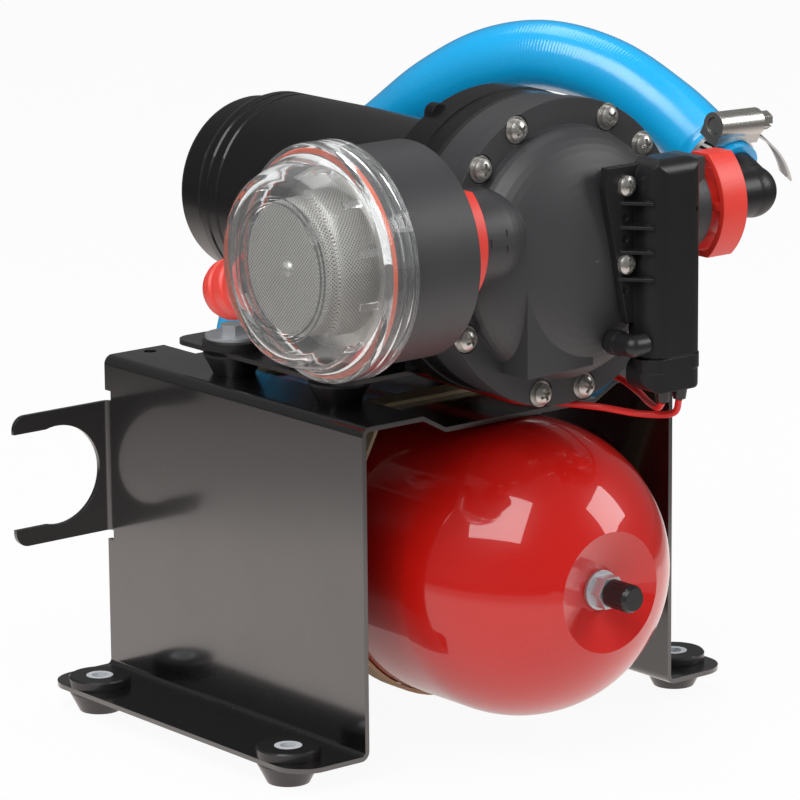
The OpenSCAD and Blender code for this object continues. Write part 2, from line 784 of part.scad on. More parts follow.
// Pan head screw with a cross recess, pointing along +Y
module pan_screw(r, head, length) {
    rotate([-90, 0, 0]) difference() {
        union() {
            cylinder(h = length, r = r);
            translate([0, 0, -head * 0.45]) cylinder(h = head * 0.45, r = head);
            intersection() {
                translate([0, 0, head * 0.55]) sphere(head * 1.414);
                translate([0, 0, -head]) cylinder(h = head * 0.56, r = head);
            }
        }
        for (t = [0, 90]) rotate([0, 0, t]) translate([-head * 0.6, -head * 0.16, -head * 1.1])
            cube([head * 1.2, head * 0.32, head * 0.75]);
    }
}

module head_screws() {
    color("#c9cbcd") for (a = screw_angles) on_circle(a, screw_circle, head_y + 1.2 - 1)
        rotate([0, a * 2, 0]) pan_screw(screw_r, 4.3, 40);
}

module head_washers() {
    color("#b5b8bb") for (a = screw_angles) on_circle(a, screw_circle, head_y + 0.2)
        rotate([-90, 0, 0]) difference() {
        cylinder(h = 1, r = 5.4);
        translate([0, 0, -1]) cylinder(h = 3, r = screw_r + screw_gap);
    }
}

// Locking clip, flat view with the port axis at the origin and the front to the left
module clip_shape() {
    difference() {
        intersection() {
            translate([6, 0]) circle(28.5);
            translate([-24, -21.4]) square([21, 42.8]);
        }
        circle(neck_r + pass);
        difference() {
            intersection() {
                translate([6, 0]) circle(26);
                translate([-24, -19.4]) square([18, 38.8]);
            }
            circle(neck_r + 3.2);
            translate([-30, -1.3]) square([30, 2.6]);
        }
    }
}

module clip(x) {
    translate([x, port_y, port_z]) rotate([90, 0, 90]) linear_extrude(clip_w) clip_shape();
}

module inlet_clip() {
    color("#d8261c") clip(inlet_step - clip_x1);
}

module outlet_clip() {
    color("#d8261c") clip(clip_x0 + 3);
}

module inlet_tail() {
    translate([-inlet_x, port_y, port_z]) rotate([-90 - inlet_drop, 0, 0]) children();
}

module strainer_housing() {
    color("#252628") difference() {
        union() {
            x_round(-strainer_x1, strainer_len, strainer_r);
            x_round(-mouth_x, neck_len + 1, strainer_r - 0.8);
            for (d = [2.2, 5.6]) x_round(-mouth_x + d, 1.4, strainer_r + 0.3);
            x_round(-strainer_x0 - 1, strainer_x0 + 1 - 51, neck_r);
            inlet_tail() {
                translate([0, 0, strainer_r - 6]) cylinder(h = 18, r = 13);
                translate([0, 0, strainer_r - 6]) cylinder(h = tail_len - strainer_r + 6, r = tail_r);
                for (d = [8, 16, 24]) translate([0, 0, tail_len - d])
                    cylinder(h = 6, r1 = tail_rib_r, r2 = tail_r);
            }
        }
        x_round(-mouth_x - 1, neck_len + 1.6, strainer_r - 3.8);
        x_round(-strainer_x1 - 1, strainer_len - 2.7, strainer_r - 5.5);
        x_round(-strainer_x0 - 10, strainer_x0, neck_bore);
        translate([-55.4, port_y, port_z]) rotate([0, 90, 0]) difference() {
            cylinder(h = 2.4, r = neck_r + 1);
            translate([0, 0, -1]) cylinder(h = 5, r = neck_r - 1.6);
        }
        inlet_tail() translate([0, 0, 20]) cylinder(h = tail_len, r = 7.5);
    }
}

module strainer_basket() {
    base = strainer_x1 - 0.6;
    wide = strainer_r - 14.4;
    slim = strainer_r - 16.6;
    color("#a9aba8") translate([-base, port_y, port_z]) rotate([0, -90, 0]) union() {
        rotate_extrude() polygon([
            [wide - 1, 0], [strainer_r - 4.2, 0], [strainer_r - 4.2, 1.4], [wide + 0.2, 1.4],
            [slim + 0.4, 25.6], [slim - 0.4, 26.4], [0, 26.4], [0, 25.6], [slim - 0.8, 25.6],
        ]);
        translate([0, 0, 25.8]) cylinder(h = 1.4, r1 = 3.2, r2 = 1.8);
    }
}

module strainer_seal() {
    color("#e8541f") translate([-mouth_x - lay, port_y, port_z]) rotate([0, -90, 0]) difference() {
        cylinder(h = 1.9, r = strainer_r + 0.4);
        translate([0, 0, -1]) cylinder(h = 4, r = strainer_r - 2.6);
    }
}

module strainer_cap() {
    seat = neck_len + lay + 1.9 - 0.2;
    inner = strainer_r + 0.8;
    front = seat + 20.1;
    color("#dfe8ea", 0.4) translate([-strainer_x1 - 0.3, port_y, port_z]) rotate([0, -90, 0]) union() {
        rotate_extrude() polygon([
            [inner, 0], [collar_r - 0.5, 0], [collar_r, 0.5], [collar_r, 12.6], [collar_r - 1.4, 14.4],
            [strainer_r + 0.4, 15], [strainer_r - 0.8, 17], [strainer_r - 4, 26],
            [strainer_r - 5.4, front - 1.4],
            [strainer_r - 7.2, front], [25.4, front], [25.2, front - 0.8], [24.2, front - 0.8], [24, front],
            [0, front], [0, front - 2.7], [strainer_r - 8.4, front - 2.7], [strainer_r - 7.2, front - 4.5],
            [strainer_r - 3.6, 14.5], [strainer_r - 3, seat], [inner, seat],
        ]);
        for (a = [0:30:330]) rotate([0, 0, a + 15]) translate([strainer_r - 4.6, -1.4, 14])
            cube([5.6, 2.8, 8.5]);
    }
}

module inlet_cap() {
    rim = tail_len - 21;
    color("#d5241d") inlet_tail() translate([0, 0, rim]) rotate_extrude() polygon([
        [tail_rib_r + pass, 0], [13, 0], [13, 5.6], [11.9, 6.6], [11.9, 8], [13, 9], [13, 13.6], [11.9, 14.6],
        [11.9, 16], [12.8, 17], [12.4, 20.4], [11, 23.4], [8, 25.4], [0, 26], [0, 22], [tail_rib_r + pass, 22],
    ]);
}

module outlet_elbow() {
    color("#1b1c1d") difference() {
        union() {
            x_round(51, clip_x1 + 5 - 51, neck_r);
            x_round(clip_x1 + 4, elbow_x - clip_x1 - 4, elbow_r);
            translate(elbow_at) sphere(elbow_r + 0.4);
            translate(elbow_at) rotate([elbow_rise - 90, 0, 0]) {
                cylinder(h = hose_start - 0.3, r = elbow_r);
                cylinder(h = hose_start + straight - 0.6, r = barb_r);
            }
        }
        x_round(50, elbow_x - 50, elbow_bore);
        translate(elbow_at) sphere(elbow_bore + 0.6);
        translate(elbow_at) rotate([elbow_rise - 90, 0, 0]) cylinder(h = 80, r = barb_r - 2.2);
        translate([53, port_y, port_z]) rotate([0, 90, 0]) difference() {
            cylinder(h = 2.4, r = neck_r + 1);
            translate([0, 0, -1]) cylinder(h = 5, r = neck_r - 1.6);
        }
    }
}

module port_seals() {
    color("#1a1a1a") for (x = [-55.2, 53.2]) translate([x, port_y, port_z]) rotate([0, 90, 0]) difference() {
        cylinder(h = 2, r = neck_r + 0.2);
        translate([0, 0, -1]) cylinder(h = 4, r = neck_r - 1.5);
    }
}

module outlet_hose() {
    color("#1f8fe0") tube(hose_route, 3, hose_r, hose_bore_r, 12, pinched = 5, bite = clamp_bite + 0.2);
}

module at_clamp() {
    translate(elbow_at + clamp_at * elbow_dir) rotate([elbow_rise - 90, 0, 0])
        rotate([0, 0, clamp_turn]) children();
}

module clamp_band() {
    color("#c4c7c9") at_clamp() translate([0, 0, -clamp_w / 2]) union() {
        difference() {
            cylinder(h = clamp_w, r = clamp_r + clamp_t);
            translate([0, 0, -1]) cylinder(h = clamp_w + 2, r = clamp_r);
        }
        translate([-1, -clamp_r - 1.5, 0.5]) cube([12.6, clamp_t, clamp_w - 1]);
        translate([-22.4, 74.33 - clamp_r, 0.5]) rotate([0, 0, -66]) rotate_extrude(angle = 30)
            translate([82.2, 0]) square([clamp_t, clamp_w - 1]);
    }
}

module clamp_housing() {
    color("#cfd1d3") at_clamp() difference() {
        union() {
            translate([-13, -clamp_r - clamp_t - 5, 0]) rotate([0, 90, 0]) cylinder(h = 24, r = 5.8);
            translate([-13, -clamp_r - clamp_t - 5, -5.2]) cube([24, 7, 10.4]);
        }
        cylinder(h = 40, r = clamp_r + clamp_t + lay, center = true);
        translate([-1.4, -clamp_r - 1.8, -clamp_w / 2]) cube([20, 1.7, clamp_w]);
        translate([-20, -clamp_r - clamp_t - 5, 0]) rotate([0, 90, 0]) cylinder(h = 40, r = 3.6);
    }
}

module clamp_screw() {
    color("#d9dbdc") at_clamp() translate([0, -clamp_r - clamp_t - 5, 0]) rotate([0, 90, 0]) difference() {
        union() {
            translate([0, 0, -12.5]) cylinder(h = 24, r = 3.2);
            translate([0, 0, 11.3]) cylinder(h = 1, r = 3.9);
            translate([0, 0, 12.2]) cylinder(h = 5.5, r = 4, $fn = 6);
        }
        translate([-5, -0.7, 15.2]) cube([10, 1.4, 4]);
    }
}

// Switch housing outline seen from the front, with round corners
module switch_outline(x0, x1, z0, z1, r) {
    translate([x0, z0]) round_rect(x1 - x0, z1 - z0, r);
}

module switch_block(x0, x1, z0, z1, y0, y1, r) {
    translate([0, y1, 0]) rotate([90, 0, 0]) linear_extrude(y1 - y0) switch_outline(x0, x1, z0, z1, r);
}

module switch_cover() {
    x1 = switch_x + switch_w;
    front = switch_y - switch_depth;
    color("#202123") difference() {
        union() {
            translate([0, pad_y - lay, 0]) rotate([90, 0, 0]) linear_extrude(pad_y - lay - switch_y) polygon([
                [2, switch_z1 - 2], [x1 + 1.5, switch_z1 - 2], [x1 + 1.5, switch_z0 + 28], [13, switch_z0 + 28],
                [1, switch_z1 - 10],
            ]);
            intersection() {
                switch_block(switch_x, x1, switch_split - switch_round, switch_z1, front,
                    pad_y - lay, switch_round);
                translate([switch_x, front, switch_split]) linear_extrude(switch_h)
                    round_rect(switch_w, switch_depth + 12, switch_round);
                translate([0, front, switch_split - switch_round]) rotate([90, 0, 90]) linear_extrude(x1 + 1)
                    round_rect(switch_depth + 20, switch_h - 14 + switch_round, switch_round - 2);
            }
            for (z = [17.4, 27.2, 37.2, 48.2]) translate([0, 0, switch_z1 - z]) linear_extrude(1.3)
                polygon([[8.3, switch_y + 1], [switch_x + 1, switch_y + 1], [switch_x + 1, front + 1.2]]);
        }
        intersection() {
            switch_block(switch_x + switch_wall, x1 - switch_wall, switch_split - 9, switch_z1 - switch_wall,
                front + switch_wall, pad_y + 1, switch_round / 2);
            translate([switch_x + switch_wall, front + switch_wall, switch_split - 1]) linear_extrude(switch_h)
                round_rect(switch_w - 2 * switch_wall, switch_depth + 20, switch_round / 2);
            translate([0, front + switch_wall, switch_split - 9]) rotate([90, 0, 90]) linear_extrude(x1 + 1)
                round_rect(switch_depth + 20, switch_h - 14 - switch_wall + 9, switch_round / 2);
        }
        for (z = switch_screw_z) translate([switch_x - 5, switch_y - 5, z])
            rotate([-90, 0, 0]) cylinder(h = 12, r = 1.7);
        for (z = [22.8, 31.5, 52]) translate([switch_x - 5, switch_y - 1, switch_z1 - z])
            rotate([-90, 0, 0]) cylinder(h = 2, r = 1.4);
        translate([x1 - 4.5, front - 1, switch_z1 - 21]) rotate([-90, 0, 0]) cylinder(h = 3, r = 1.2);
    }
}

module switch_end_cap() {
    x1 = switch_x + switch_w;
    front = switch_y - switch_depth;
    color("#1d1e20") difference() {
        union() {
            intersection() {
                switch_block(switch_x - 1.5, x1, switch_z0, switch_split - 0.2, front, pad_y - lay, 6);
                translate([switch_x - 1.5, front, switch_z0 - 1]) linear_extrude(switch_h)
                    round_rect(switch_w + 1.5, switch_depth + 12, switch_round);
            }
            translate([switch_x - 1.5, front, switch_z0 + 8]) linear_extrude(switch_split - 0.2 - switch_z0 - 8)
                round_rect(switch_w + 1.5, pad_y - lay - front, 7);
        }
        for (x = boot_x) translate([x, boot_y, switch_z0 - 1]) cylinder(h = 10, r = 3.1);
        translate([switch_x + 12, switch_y - 5.2, switch_split - 8]) cylinder(h = 20, r = 2.6);
    }
}

module switch_screws() {
    color("#c9cbcd") for (z = switch_screw_z) translate([switch_x - 5, switch_y, z])
        rotate([0, z * 3, 0]) pan_screw(1.55, 4.1, 11);
}

module micro_switch() {
    color("#17181a") translate([switch_x + 5, switch_y - 9, switch_split + 28]) cube([14, 9, 26]);
}

module switch_plunger() {
    color("#e6e2d6") translate([switch_x + 12, switch_y - 5.2, switch_split - 7]) union() {
        cylinder(h = 33, r = 2.2);
        translate([0, 0, 18]) cylinder(h = 2, r = 4);
    }
}

module switch_spring() {
    color("#c2c4c6") translate([switch_x + 12, switch_y - 5.2, switch_split + 13 + lay]) difference() {
        cylinder(h = 15 - 2 * lay, r = 3.9);
        translate([0, 0, -1]) cylinder(h = 17, r = 2.7);
    }
}

module sense_tube() {
    bend_y = switch_y - 6;
    stub = head_y - dome_h * 0.74 - bend_y;
    color("#191a1b") translate([sense_x, bend_y, sense_z]) union() {
        rotate([-90, 0, 0]) cylinder(h = stub + 8, r = 3.3);
        rotate([-90, 0, 0]) cylinder(h = stub - 2.6, r = 4.5);
        translate([0, stub - 7.6, 0]) rotate([-90, 0, 0]) cylinder(h = 4.4, r = 5.2);
        sphere(4.5);
        rotate([0, 90, 0]) cylinder(h = switch_x - sense_x - lay, r = 4.5);
    }
}

module wire_boots() {
    color("#151515") for (x = boot_x) translate([x, boot_y, switch_z0 - 5]) difference() {
        union() {
            cylinder(h = 5, r1 = 2.6, r2 = 3.4);
            translate([0, 0, 4.9]) cylinder(h = 4, r = 3);
        }
        translate([0, 0, -1]) cylinder(h = 5, r = wire_r + 0.4);
    }
}

module motor_wire() {
    color("#d32420") cord(motor_wire_route, 3, wire_r, 8);
}

module supply_wire() {
    color("#d32420") cord(supply_wire_route, 3, wire_r, 8);
}

module tank_body(r, y0, y1) {
    union() {
        translate([0, y0, tank_z]) sphere(r);
        tank_round(y0, y1 - y0, r);
        translate([0, y1, tank_z]) sphere(r);
    }
}

module tank_shell() {
    color("#c01a1c") difference() {
        union() {
            difference() {
                tank_body(tank_r, tank_c0, tank_c1);
                tank_body(tank_r - tank_wall, tank_c0, tank_c1);
            }
            intersection() {
                tank_body(tank_r, tank_c0, tank_c1);
                tank_round(tank_y0 - 2, dish_depth + 2 + tank_wall,
                    dish_floor + (dish_depth + 2 + tank_wall) / dish_slope, dish_floor);
            }
            tank_round(tank_y1 - 6, 9, 14);
        }
        tank_round(tank_y0 - 2, dish_depth + 2, dish_floor + (dish_depth + 2) / dish_slope, dish_floor);
        tank_round(tank_y0 - 1, 40, stem_r + fit);
        tank_round(tank_y1 - 20, 40, 9);
    }
}

module tank_bladder() {
    slack = tank_r - 14;
    color("#2a2626") difference() {
        union() {
            tank_body(slack, tank_c0 + 6, tank_c1 - 4);
            tank_round(tank_c1, tank_y1 - tank_c1 - 2, 8.6);
        }
        tank_body(slack - 2, tank_c0 + 6, tank_c1 - 4);
        tank_round(tank_c1, tank_r + 30, 7);
    }
}

module tank_tee() {
    color("#17181a") difference() {
        union() {
            tank_round(tank_y1 + 3 + lay, tee_y - tank_y1 - 3, 11.6);
            tank_round(tank_y1 - 1.9, 6, 8.8);
            tank_round(tank_y1 + 5, 9, 15, 15);
            tank_round(tee_y - 15, 30, tee_r);
            translate(tee_at) rotate([0, tee_lean, tee_turn]) cylinder(h = tee_barb - 1, r = neck_r);
            translate(tee_at) rotate([0, tee_lean, tee_turn]) cylinder(h = tee_barb + 20, r = barb_r);
            tank_round(tee_y, 44, tail_r);
            for (d = [20, 28, 36]) tank_round(tee_y + d, 6, tail_r, tail_rib_r);
        }
        tank_round(tank_y1 - 5, 120, 6.8);
        translate(tee_at) rotate([0, tee_lean, tee_turn]) cylinder(h = 80, r = 6.8);
    }
}

module valve_nut() {
    color("#c8cacc") difference() {
        union() {
            tank_round(tank_y0 + dish_depth - 1.6, 1.5, 8.2);
            translate([0, tank_y0 + dish_depth - 8, tank_z])
                rotate([-90, 0, 0]) cylinder(h = 6.5, r = 7.2, $fn = 6);
        }
        tank_round(tank_y0 - 1, 30, stem_r + fit);
    }
}

module valve_stem() {
    color("#cfc7a8") difference() {
        union() {
            tank_round(stem_y, tank_y0 + dish_depth + tank_wall + 4.5 - stem_y, stem_r);
            tank_round(tank_y0 + dish_depth + tank_wall + lay, 3, 7);
        }
        tank_round(stem_y - 1, 40, 1.3);
    }
}

module valve_pin() {
    color("#d8d2b4") tank_round(stem_y + 0.4, 16, 0.9);
}

module valve_seal() {
    color("#222222") tank_round(stem_y - lay - 1.2, 1.2, stem_r + 0.3);
}

module valve_cap() {
    front = stem_y - 2 * lay - 1.2 - 3;
    color("#141414") difference() {
        union() {
            tank_round(front, 2, 4.6, 5.8);
            tank_round(front + 1.9, cap_len - 1.9, 5.8);
        }
        tank_round(front + 3, cap_len, stem_r + 0.4);
        for (a = [0:22.5:337.5]) translate([6.2 * cos(a), front - 1, tank_z + 6.2 * sin(a)])
            rotate([-90, 0, 0]) cylinder(h = cap_len - 2, r = 0.7);
    }
}

// Band round the tank and over the channel
module strap_line(r, x, z) {
    reach = norm([x, z - tank_z]);
    lean = atan2(z - tank_z, x) - acos(r / reach);
    polygon(concat(
        [for (i = [0:48]) let (a = lean - i * (180 + 2 * lean) / 48) [r * cos(a), tank_z + r * sin(a)]],
        [[-x, z], [x, z]]
    ));
}

module tank_straps() {
    r = tank_r + 0.4;
    color("#d8c9a4") for (y = strap_y) translate([0, y + strap_w / 2, 0]) rotate([90, 0, 0])
        linear_extrude(strap_w)
        difference() {
            strap_line(r + strap_t, strap_x + 0.9, channel_z + lay + strap_t);
            strap_line(r, strap_x, channel_z + lay);
        }
}

bracket();
rubber_mounts();
mount_sleeves();
mount_washers();
mount_bolts();
mount_nuts();
base_plate();
drive_housing();
motor_can();
motor_end_cap();
field_magnets();
brush_plate();
carbon_brushes();
shaft_bearings();
rotor_shaft();
armature();
commutator();
tilted_hub();
wobble_bearing();
wobble_plate();
pistons();
diaphragm();
valve_plate();
inlet_valves();
outlet_valve();
pump_head();
head_screws();
head_washers();
inlet_clip();
outlet_clip();
strainer_housing();
strainer_basket();
strainer_seal();
strainer_cap();
inlet_cap();
outlet_elbow();
port_seals();
outlet_hose();
clamp_band();
clamp_housing();
clamp_screw();
switch_cover();
switch_end_cap();
switch_screws();
micro_switch();
switch_plunger();
switch_spring();
sense_tube();
wire_boots();
motor_wire();
supply_wire();
tank_shell();
tank_bladder();
tank_tee();
valve_nut();
valve_stem();
valve_pin();
valve_seal();
valve_cap();
tank_straps();
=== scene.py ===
"""Dresses the caravan water pump set: finishes for every solid, hose and wires, clear strainer and studio."""

import logging
import math
from collections.abc import Mapping, Sequence
from dataclasses import dataclass
from enum import Enum
from typing import Any

import bmesh
import bpy
import numpy as np
from mathutils import Matrix


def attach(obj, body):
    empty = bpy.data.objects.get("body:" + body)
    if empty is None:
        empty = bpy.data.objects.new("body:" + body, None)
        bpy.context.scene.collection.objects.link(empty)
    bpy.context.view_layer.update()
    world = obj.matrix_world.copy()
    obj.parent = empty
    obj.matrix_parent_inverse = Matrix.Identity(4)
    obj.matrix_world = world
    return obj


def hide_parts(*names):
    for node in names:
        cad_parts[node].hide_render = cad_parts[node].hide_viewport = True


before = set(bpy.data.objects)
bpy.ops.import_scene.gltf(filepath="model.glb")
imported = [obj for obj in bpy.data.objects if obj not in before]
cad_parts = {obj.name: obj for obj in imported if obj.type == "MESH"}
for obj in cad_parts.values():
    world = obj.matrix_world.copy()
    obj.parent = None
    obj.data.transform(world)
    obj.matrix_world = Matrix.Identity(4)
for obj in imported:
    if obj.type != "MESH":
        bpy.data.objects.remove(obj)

MM = 0.001
log = logging.getLogger("water_pump")


class Lay(Enum):
    """Direction of the fine lines that a tool leaves on metal, as stretch factors along X, Y and Z."""

    ALONG_X = (0.04, 1.0, 1.0)
    ALONG_Y = (1.0, 0.04, 1.0)
    ALL_ROUND = (1.0, 1.0, 1.0)


class Lamp(Enum):
    """The studio lamps: place and aim in metres, width and depth in metres, radiance."""

    LEFT = ((-0.78, -0.50, 1.12), (0.0, -0.07, 0.12), (1.0, 0.85), 4.4)
    RIGHT = ((0.86, -0.78, 0.78), (0.0, -0.07, 0.12), (0.62, 0.5), 4.6)
    TOP = ((0.20, 0.40, 1.5), (0.0, 0.0, 0.1), (0.9, 0.7), 2.2)


def linear(code: str, alpha: float = 1.0) -> tuple[float, float, float, float]:
    """Turn an sRGB hex colour into the linear values that shaders take.

    Args:
        code: six hex digits after a hash.
        alpha: fourth value of the result.

    Returns:
        Red, green, blue and alpha.
    """
    srgb = np.array([int(code[i:i + 2], 16) for i in (1, 3, 5)]) / 255.0
    low = srgb / 12.92
    high = ((srgb + 0.055) / 1.055) ** 2.4
    rgb = np.where(srgb <= 0.04045, low, high)
    return (float(rgb[0]), float(rgb[1]), float(rgb[2]), alpha)


def add(
    tree: bpy.types.NodeTree,
    kind: str,
    values: Mapping[str | int, Any] | None = None,
    links: Mapping[str | int, bpy.types.NodeSocket] | None = None,
    **props: Any,
) -> bpy.types.Node:
    """Add one node with its settings and links.

    Args:
        tree: node tree that gets the node.
        kind: type name of the node.
        values: input socket to its constant value.
        links: input socket to the output that feeds it.
        **props: properties of the node itself.

    Returns:
        The new node.
    """
    node = tree.nodes.new(kind)
    for name, value in props.items():
        setattr(node, name, value)
    for key, value in (values or {}).items():
        node.inputs[key].default_value = value
    for key, socket in (links or {}).items():
        tree.links.new(socket, node.inputs[key])
    return node


@dataclass(frozen=True)
class Finish:
    """A surface finish, named for the real material; subclasses add what the eye sees on it.

    Attributes:
        name: name of the material.
        colour: sRGB hex colour of the body.
        roughness: spread of the body's own reflection.
        metallic: share of bare metal.
        specular: strength of the body's own reflection.
        coat: share of a clear gloss layer, with its own roughness and index.
        edge_mm: radius of the broken edges, in millimetres.
    """

    name: str
    colour: str
    roughness: float = 0.4
    metallic: float = 0.0
    specular: float = 0.5
    coat: float = 0.0
    coat_roughness: float = 0.05
    coat_ior: float = 1.5
    edge_mm: float = 0.0

    def material(self) -> bpy.types.Material:
        """Make the material once and hand out the same one afterwards.

        Returns:
            The material with its shader and pattern.
        """
        known = bpy.data.materials.get(self.name)
        if known is not None:
            return known
        made = bpy.data.materials.new(self.name)
        made.use_nodes = True
        tree = made.node_tree
        tree.nodes.clear()
        values = {
            "Base Color": linear(self.colour),
            "Roughness": self.roughness,
            "Metallic": self.metallic,
            "Specular IOR Level": self.specular,
            "Coat Weight": self.coat,
            "Coat Roughness": self.coat_roughness,
            "Coat IOR": self.coat_ior,
        }
        shader = add(tree, "ShaderNodeBsdfPrincipled", values)
        self.pattern(tree, shader)
        add(tree, "ShaderNodeOutputMaterial", links={"Surface": shader.outputs["BSDF"]})
        return made

    def pattern(self, tree: bpy.types.NodeTree, shader: bpy.types.Node) -> None:
        """Add what varies over the surface; the plain finish adds nothing."""

    def noise(
        self, tree: bpy.types.NodeTree, size_mm: float, detail: float, stretch: Lay = Lay.ALL_ROUND,
    ) -> bpy.types.NodeSocket:
        """Make a noise in the piece's own space.

        Args:
            tree: node tree of the material.
            size_mm: size of its features in millimetres.
            detail: octaves of finer noise in it.
            stretch: direction in which it is drawn out.

        Returns:
            The noise, from nought to one.
        """
        place = add(tree, "ShaderNodeTexCoord").outputs["Object"]
        if stretch is not Lay.ALL_ROUND:
            place = add(tree, "ShaderNodeMapping", {"Scale": stretch.value}, {"Vector": place}).outputs["Vector"]
        values = {"Scale": 1000 / size_mm, "Detail": detail}
        return add(tree, "ShaderNodeTexNoise", values, {"Vector": place}).outputs["Fac"]

    def gloss(
        self, tree: bpy.types.NodeTree, shader: bpy.types.Node, noise: bpy.types.NodeSocket,
        between: tuple[float, float], share: tuple[float, float],
    ) -> None:
        """Let the roughness follow a noise.

        Args:
            tree: node tree of the material.
            shader: shader that takes the roughness.
            noise: the noise.
            between: values of the noise at which the roughness ends its change.
            share: shares of the finish's roughness at those values.
        """
        low, high = (self.roughness * part for part in share)
        values = {"From Min": between[0], "From Max": between[1], "To Min": low, "To Max": high}
        rough = add(tree, "ShaderNodeMapRange", values, {"Value": noise})
        tree.links.new(rough.outputs["Result"], shader.inputs["Roughness"])

    def tint(
        self, tree: bpy.types.NodeTree, shader: bpy.types.Node, colours: tuple[str, str],
        share: bpy.types.NodeSocket,
    ) -> None:
        """Mix two colours into the body colour.

        Args:
            tree: node tree of the material.
            shader: shader that takes the colour.
            colours: the two sRGB hex colours.
            share: share of the second one.
        """
        values = {"A": linear(colours[0]), "B": linear(colours[1])}
        mixed = add(tree, "ShaderNodeMix", values, {"Factor": share}, data_type="RGBA")
        tree.links.new(mixed.outputs["Result"], shader.inputs["Base Color"])

    def relief(
        self, tree: bpy.types.NodeTree, shader: bpy.types.Node, height: bpy.types.NodeSocket, strength: float,
        depth_mm: float,
    ) -> None:
        """Turn a height pattern into relief, over edges that are broken as on the real piece.

        Args:
            tree: node tree of the material.
            shader: shader that takes the relief.
            height: the pattern.
            strength: how much of the relief shows.
            depth_mm: height of the pattern in millimetres.
        """
        sizes = {"Strength": strength, "Distance": depth_mm * MM}
        bump = add(tree, "ShaderNodeBump", sizes, {"Height": height})
        if self.edge_mm > 0:
            edge = add(tree, "ShaderNodeBevel", {"Radius": self.edge_mm * MM}, samples=4)
            tree.links.new(edge.outputs["Normal"], bump.inputs["Normal"])
        tree.links.new(bump.outputs["Normal"], shader.inputs["Normal"])


@dataclass(frozen=True)
class GlossPaint(Finish):
    """Stoved paint on metal: deep gloss with a faint orange peel and small changes of gloss."""

    peel_mm: float = 2.4
    peel_depth_mm: float = 0.012
    drift_mm: float = 40.0

    def pattern(self, tree: bpy.types.NodeTree, shader: bpy.types.Node) -> None:
        """Wavy skin from a fine noise, and gloss that drifts over 40 mm."""
        self.relief(tree, shader, self.noise(tree, self.peel_mm, 1.0), 0.6, self.peel_depth_mm)
        self.gloss(tree, shader, self.noise(tree, self.drift_mm, 3.0), (0.3, 0.7), (0.8, 1.35))


@dataclass(frozen=True)
class MouldedPlastic(Finish):
    """Injection moulding from a spark-eroded tool: an even fine grain with slightly uneven tone."""

    grain_mm: float = 0.55
    grain_depth_mm: float = 0.03
    flow_mm: float = 30.3
    tone: str = "#3a3a3d"

    def pattern(self, tree: bpy.types.NodeTree, shader: bpy.types.Node) -> None:
        """Grain drawn a little coarser than the real 0.2 mm so that it shows, and flow marks 30 mm long.

        Args:
            tree: node tree of the material.
            shader: shader that takes the pattern.
        """
        grain = self.noise(tree, self.grain_mm, 2.0)
        self.relief(tree, shader, grain, 0.5, self.grain_depth_mm)
        self.gloss(tree, shader, grain, (0.35, 0.65), (0.9, 1.12))
        self.tint(tree, shader, (self.colour, self.tone), self.noise(tree, self.flow_mm, 4.0))


@dataclass(frozen=True)
class BrightMetal(Finish):
    """Bright metal with the fine lines of rolling or turning."""

    lay: Lay = Lay.ALL_ROUND
    line_mm: float = 0.35
    line_depth_mm: float = 0.01

    def pattern(self, tree: bpy.types.NodeTree, shader: bpy.types.Node) -> None:
        """Lines from a noise that is stretched along the lay.

        Args:
            tree: node tree of the material.
            shader: shader that takes the pattern.
        """
        lines = self.noise(tree, self.line_mm, 3.0, self.lay)
        self.gloss(tree, shader, lines, (0.3, 0.7), (0.75, 1.4))
        self.relief(tree, shader, lines, 0.35, self.line_depth_mm)


@dataclass(frozen=True)
class ClearPlastic(Finish):
    """Clear polycarbonate, polished in the tool: it bends light and takes sharp highlights."""

    clear: float = 0.95
    ior: float = 1.42
    wave_mm: float = 25.0
    wave_depth_mm: float = 0.04

    def pattern(self, tree: bpy.types.NodeTree, shader: bpy.types.Node) -> None:
        """Transmission with a breath of haze, the bending of light and a slight waviness of 25 mm.

        Args:
            tree: node tree of the material.
            shader: shader that takes the pattern.
        """
        shader.inputs["Transmission Weight"].default_value = self.clear
        shader.inputs["IOR"].default_value = self.ior
        self.relief(tree, shader, self.noise(tree, self.wave_mm, 0.0), 0.1, self.wave_depth_mm)


@dataclass(frozen=True)
class WovenWire(Finish):
    """Woven stainless gauze: bright wires over holes in a painted darker shade, laid out in millimetres on the piece's
    UV map.
    """

    pitch_mm: float = 1.15
    wire_depth_mm: float = 0.2
    # Painted shade in the holes, for the darker inside seen through the weave.
    hole: str = "#6b6763"

    def pattern(self, tree: bpy.types.NodeTree, shader: bpy.types.Node) -> None:
        """Two sets of wires at 45 degrees; where neither passes there is a hole, in a painted darker shade.

        Args:
            tree: node tree of the material.
            shader: shader that takes the pattern.
        """
        place = add(tree, "ShaderNodeUVMap", uv_map="UVMap").outputs["UV"]
        turned = add(tree, "ShaderNodeMapping", {"Rotation": (0.0, 0.0, math.radians(45))}, {"Vector": place})
        parts = add(tree, "ShaderNodeSeparateXYZ", links={"Vector": turned.outputs["Vector"]})
        waves = []
        for axis in ("X", "Y"):
            turn = add(
                tree, "ShaderNodeMath", {1: 2 * math.pi / self.pitch_mm}, {0: parts.outputs[axis]},
                operation="MULTIPLY",
            )
            waves.append(add(tree, "ShaderNodeMath", links={0: turn.outputs[0]}, operation="COSINE").outputs[0])
        wires = add(tree, "ShaderNodeMath", links={0: waves[0], 1: waves[1]}, operation="MAXIMUM")
        bright = add(
            tree, "ShaderNodeMapRange", {"From Min": 0.1, "From Max": 0.55, "To Min": 0.0, "To Max": 1.0},
            {"Value": wires.outputs[0]},
        )
        # The holes get the painted shade; the wires keep the steel's colour.
        self.tint(tree, shader, (self.hole, self.colour), bright.outputs["Result"])
        self.relief(tree, shader, wires.outputs[0], 0.7, self.wire_depth_mm)


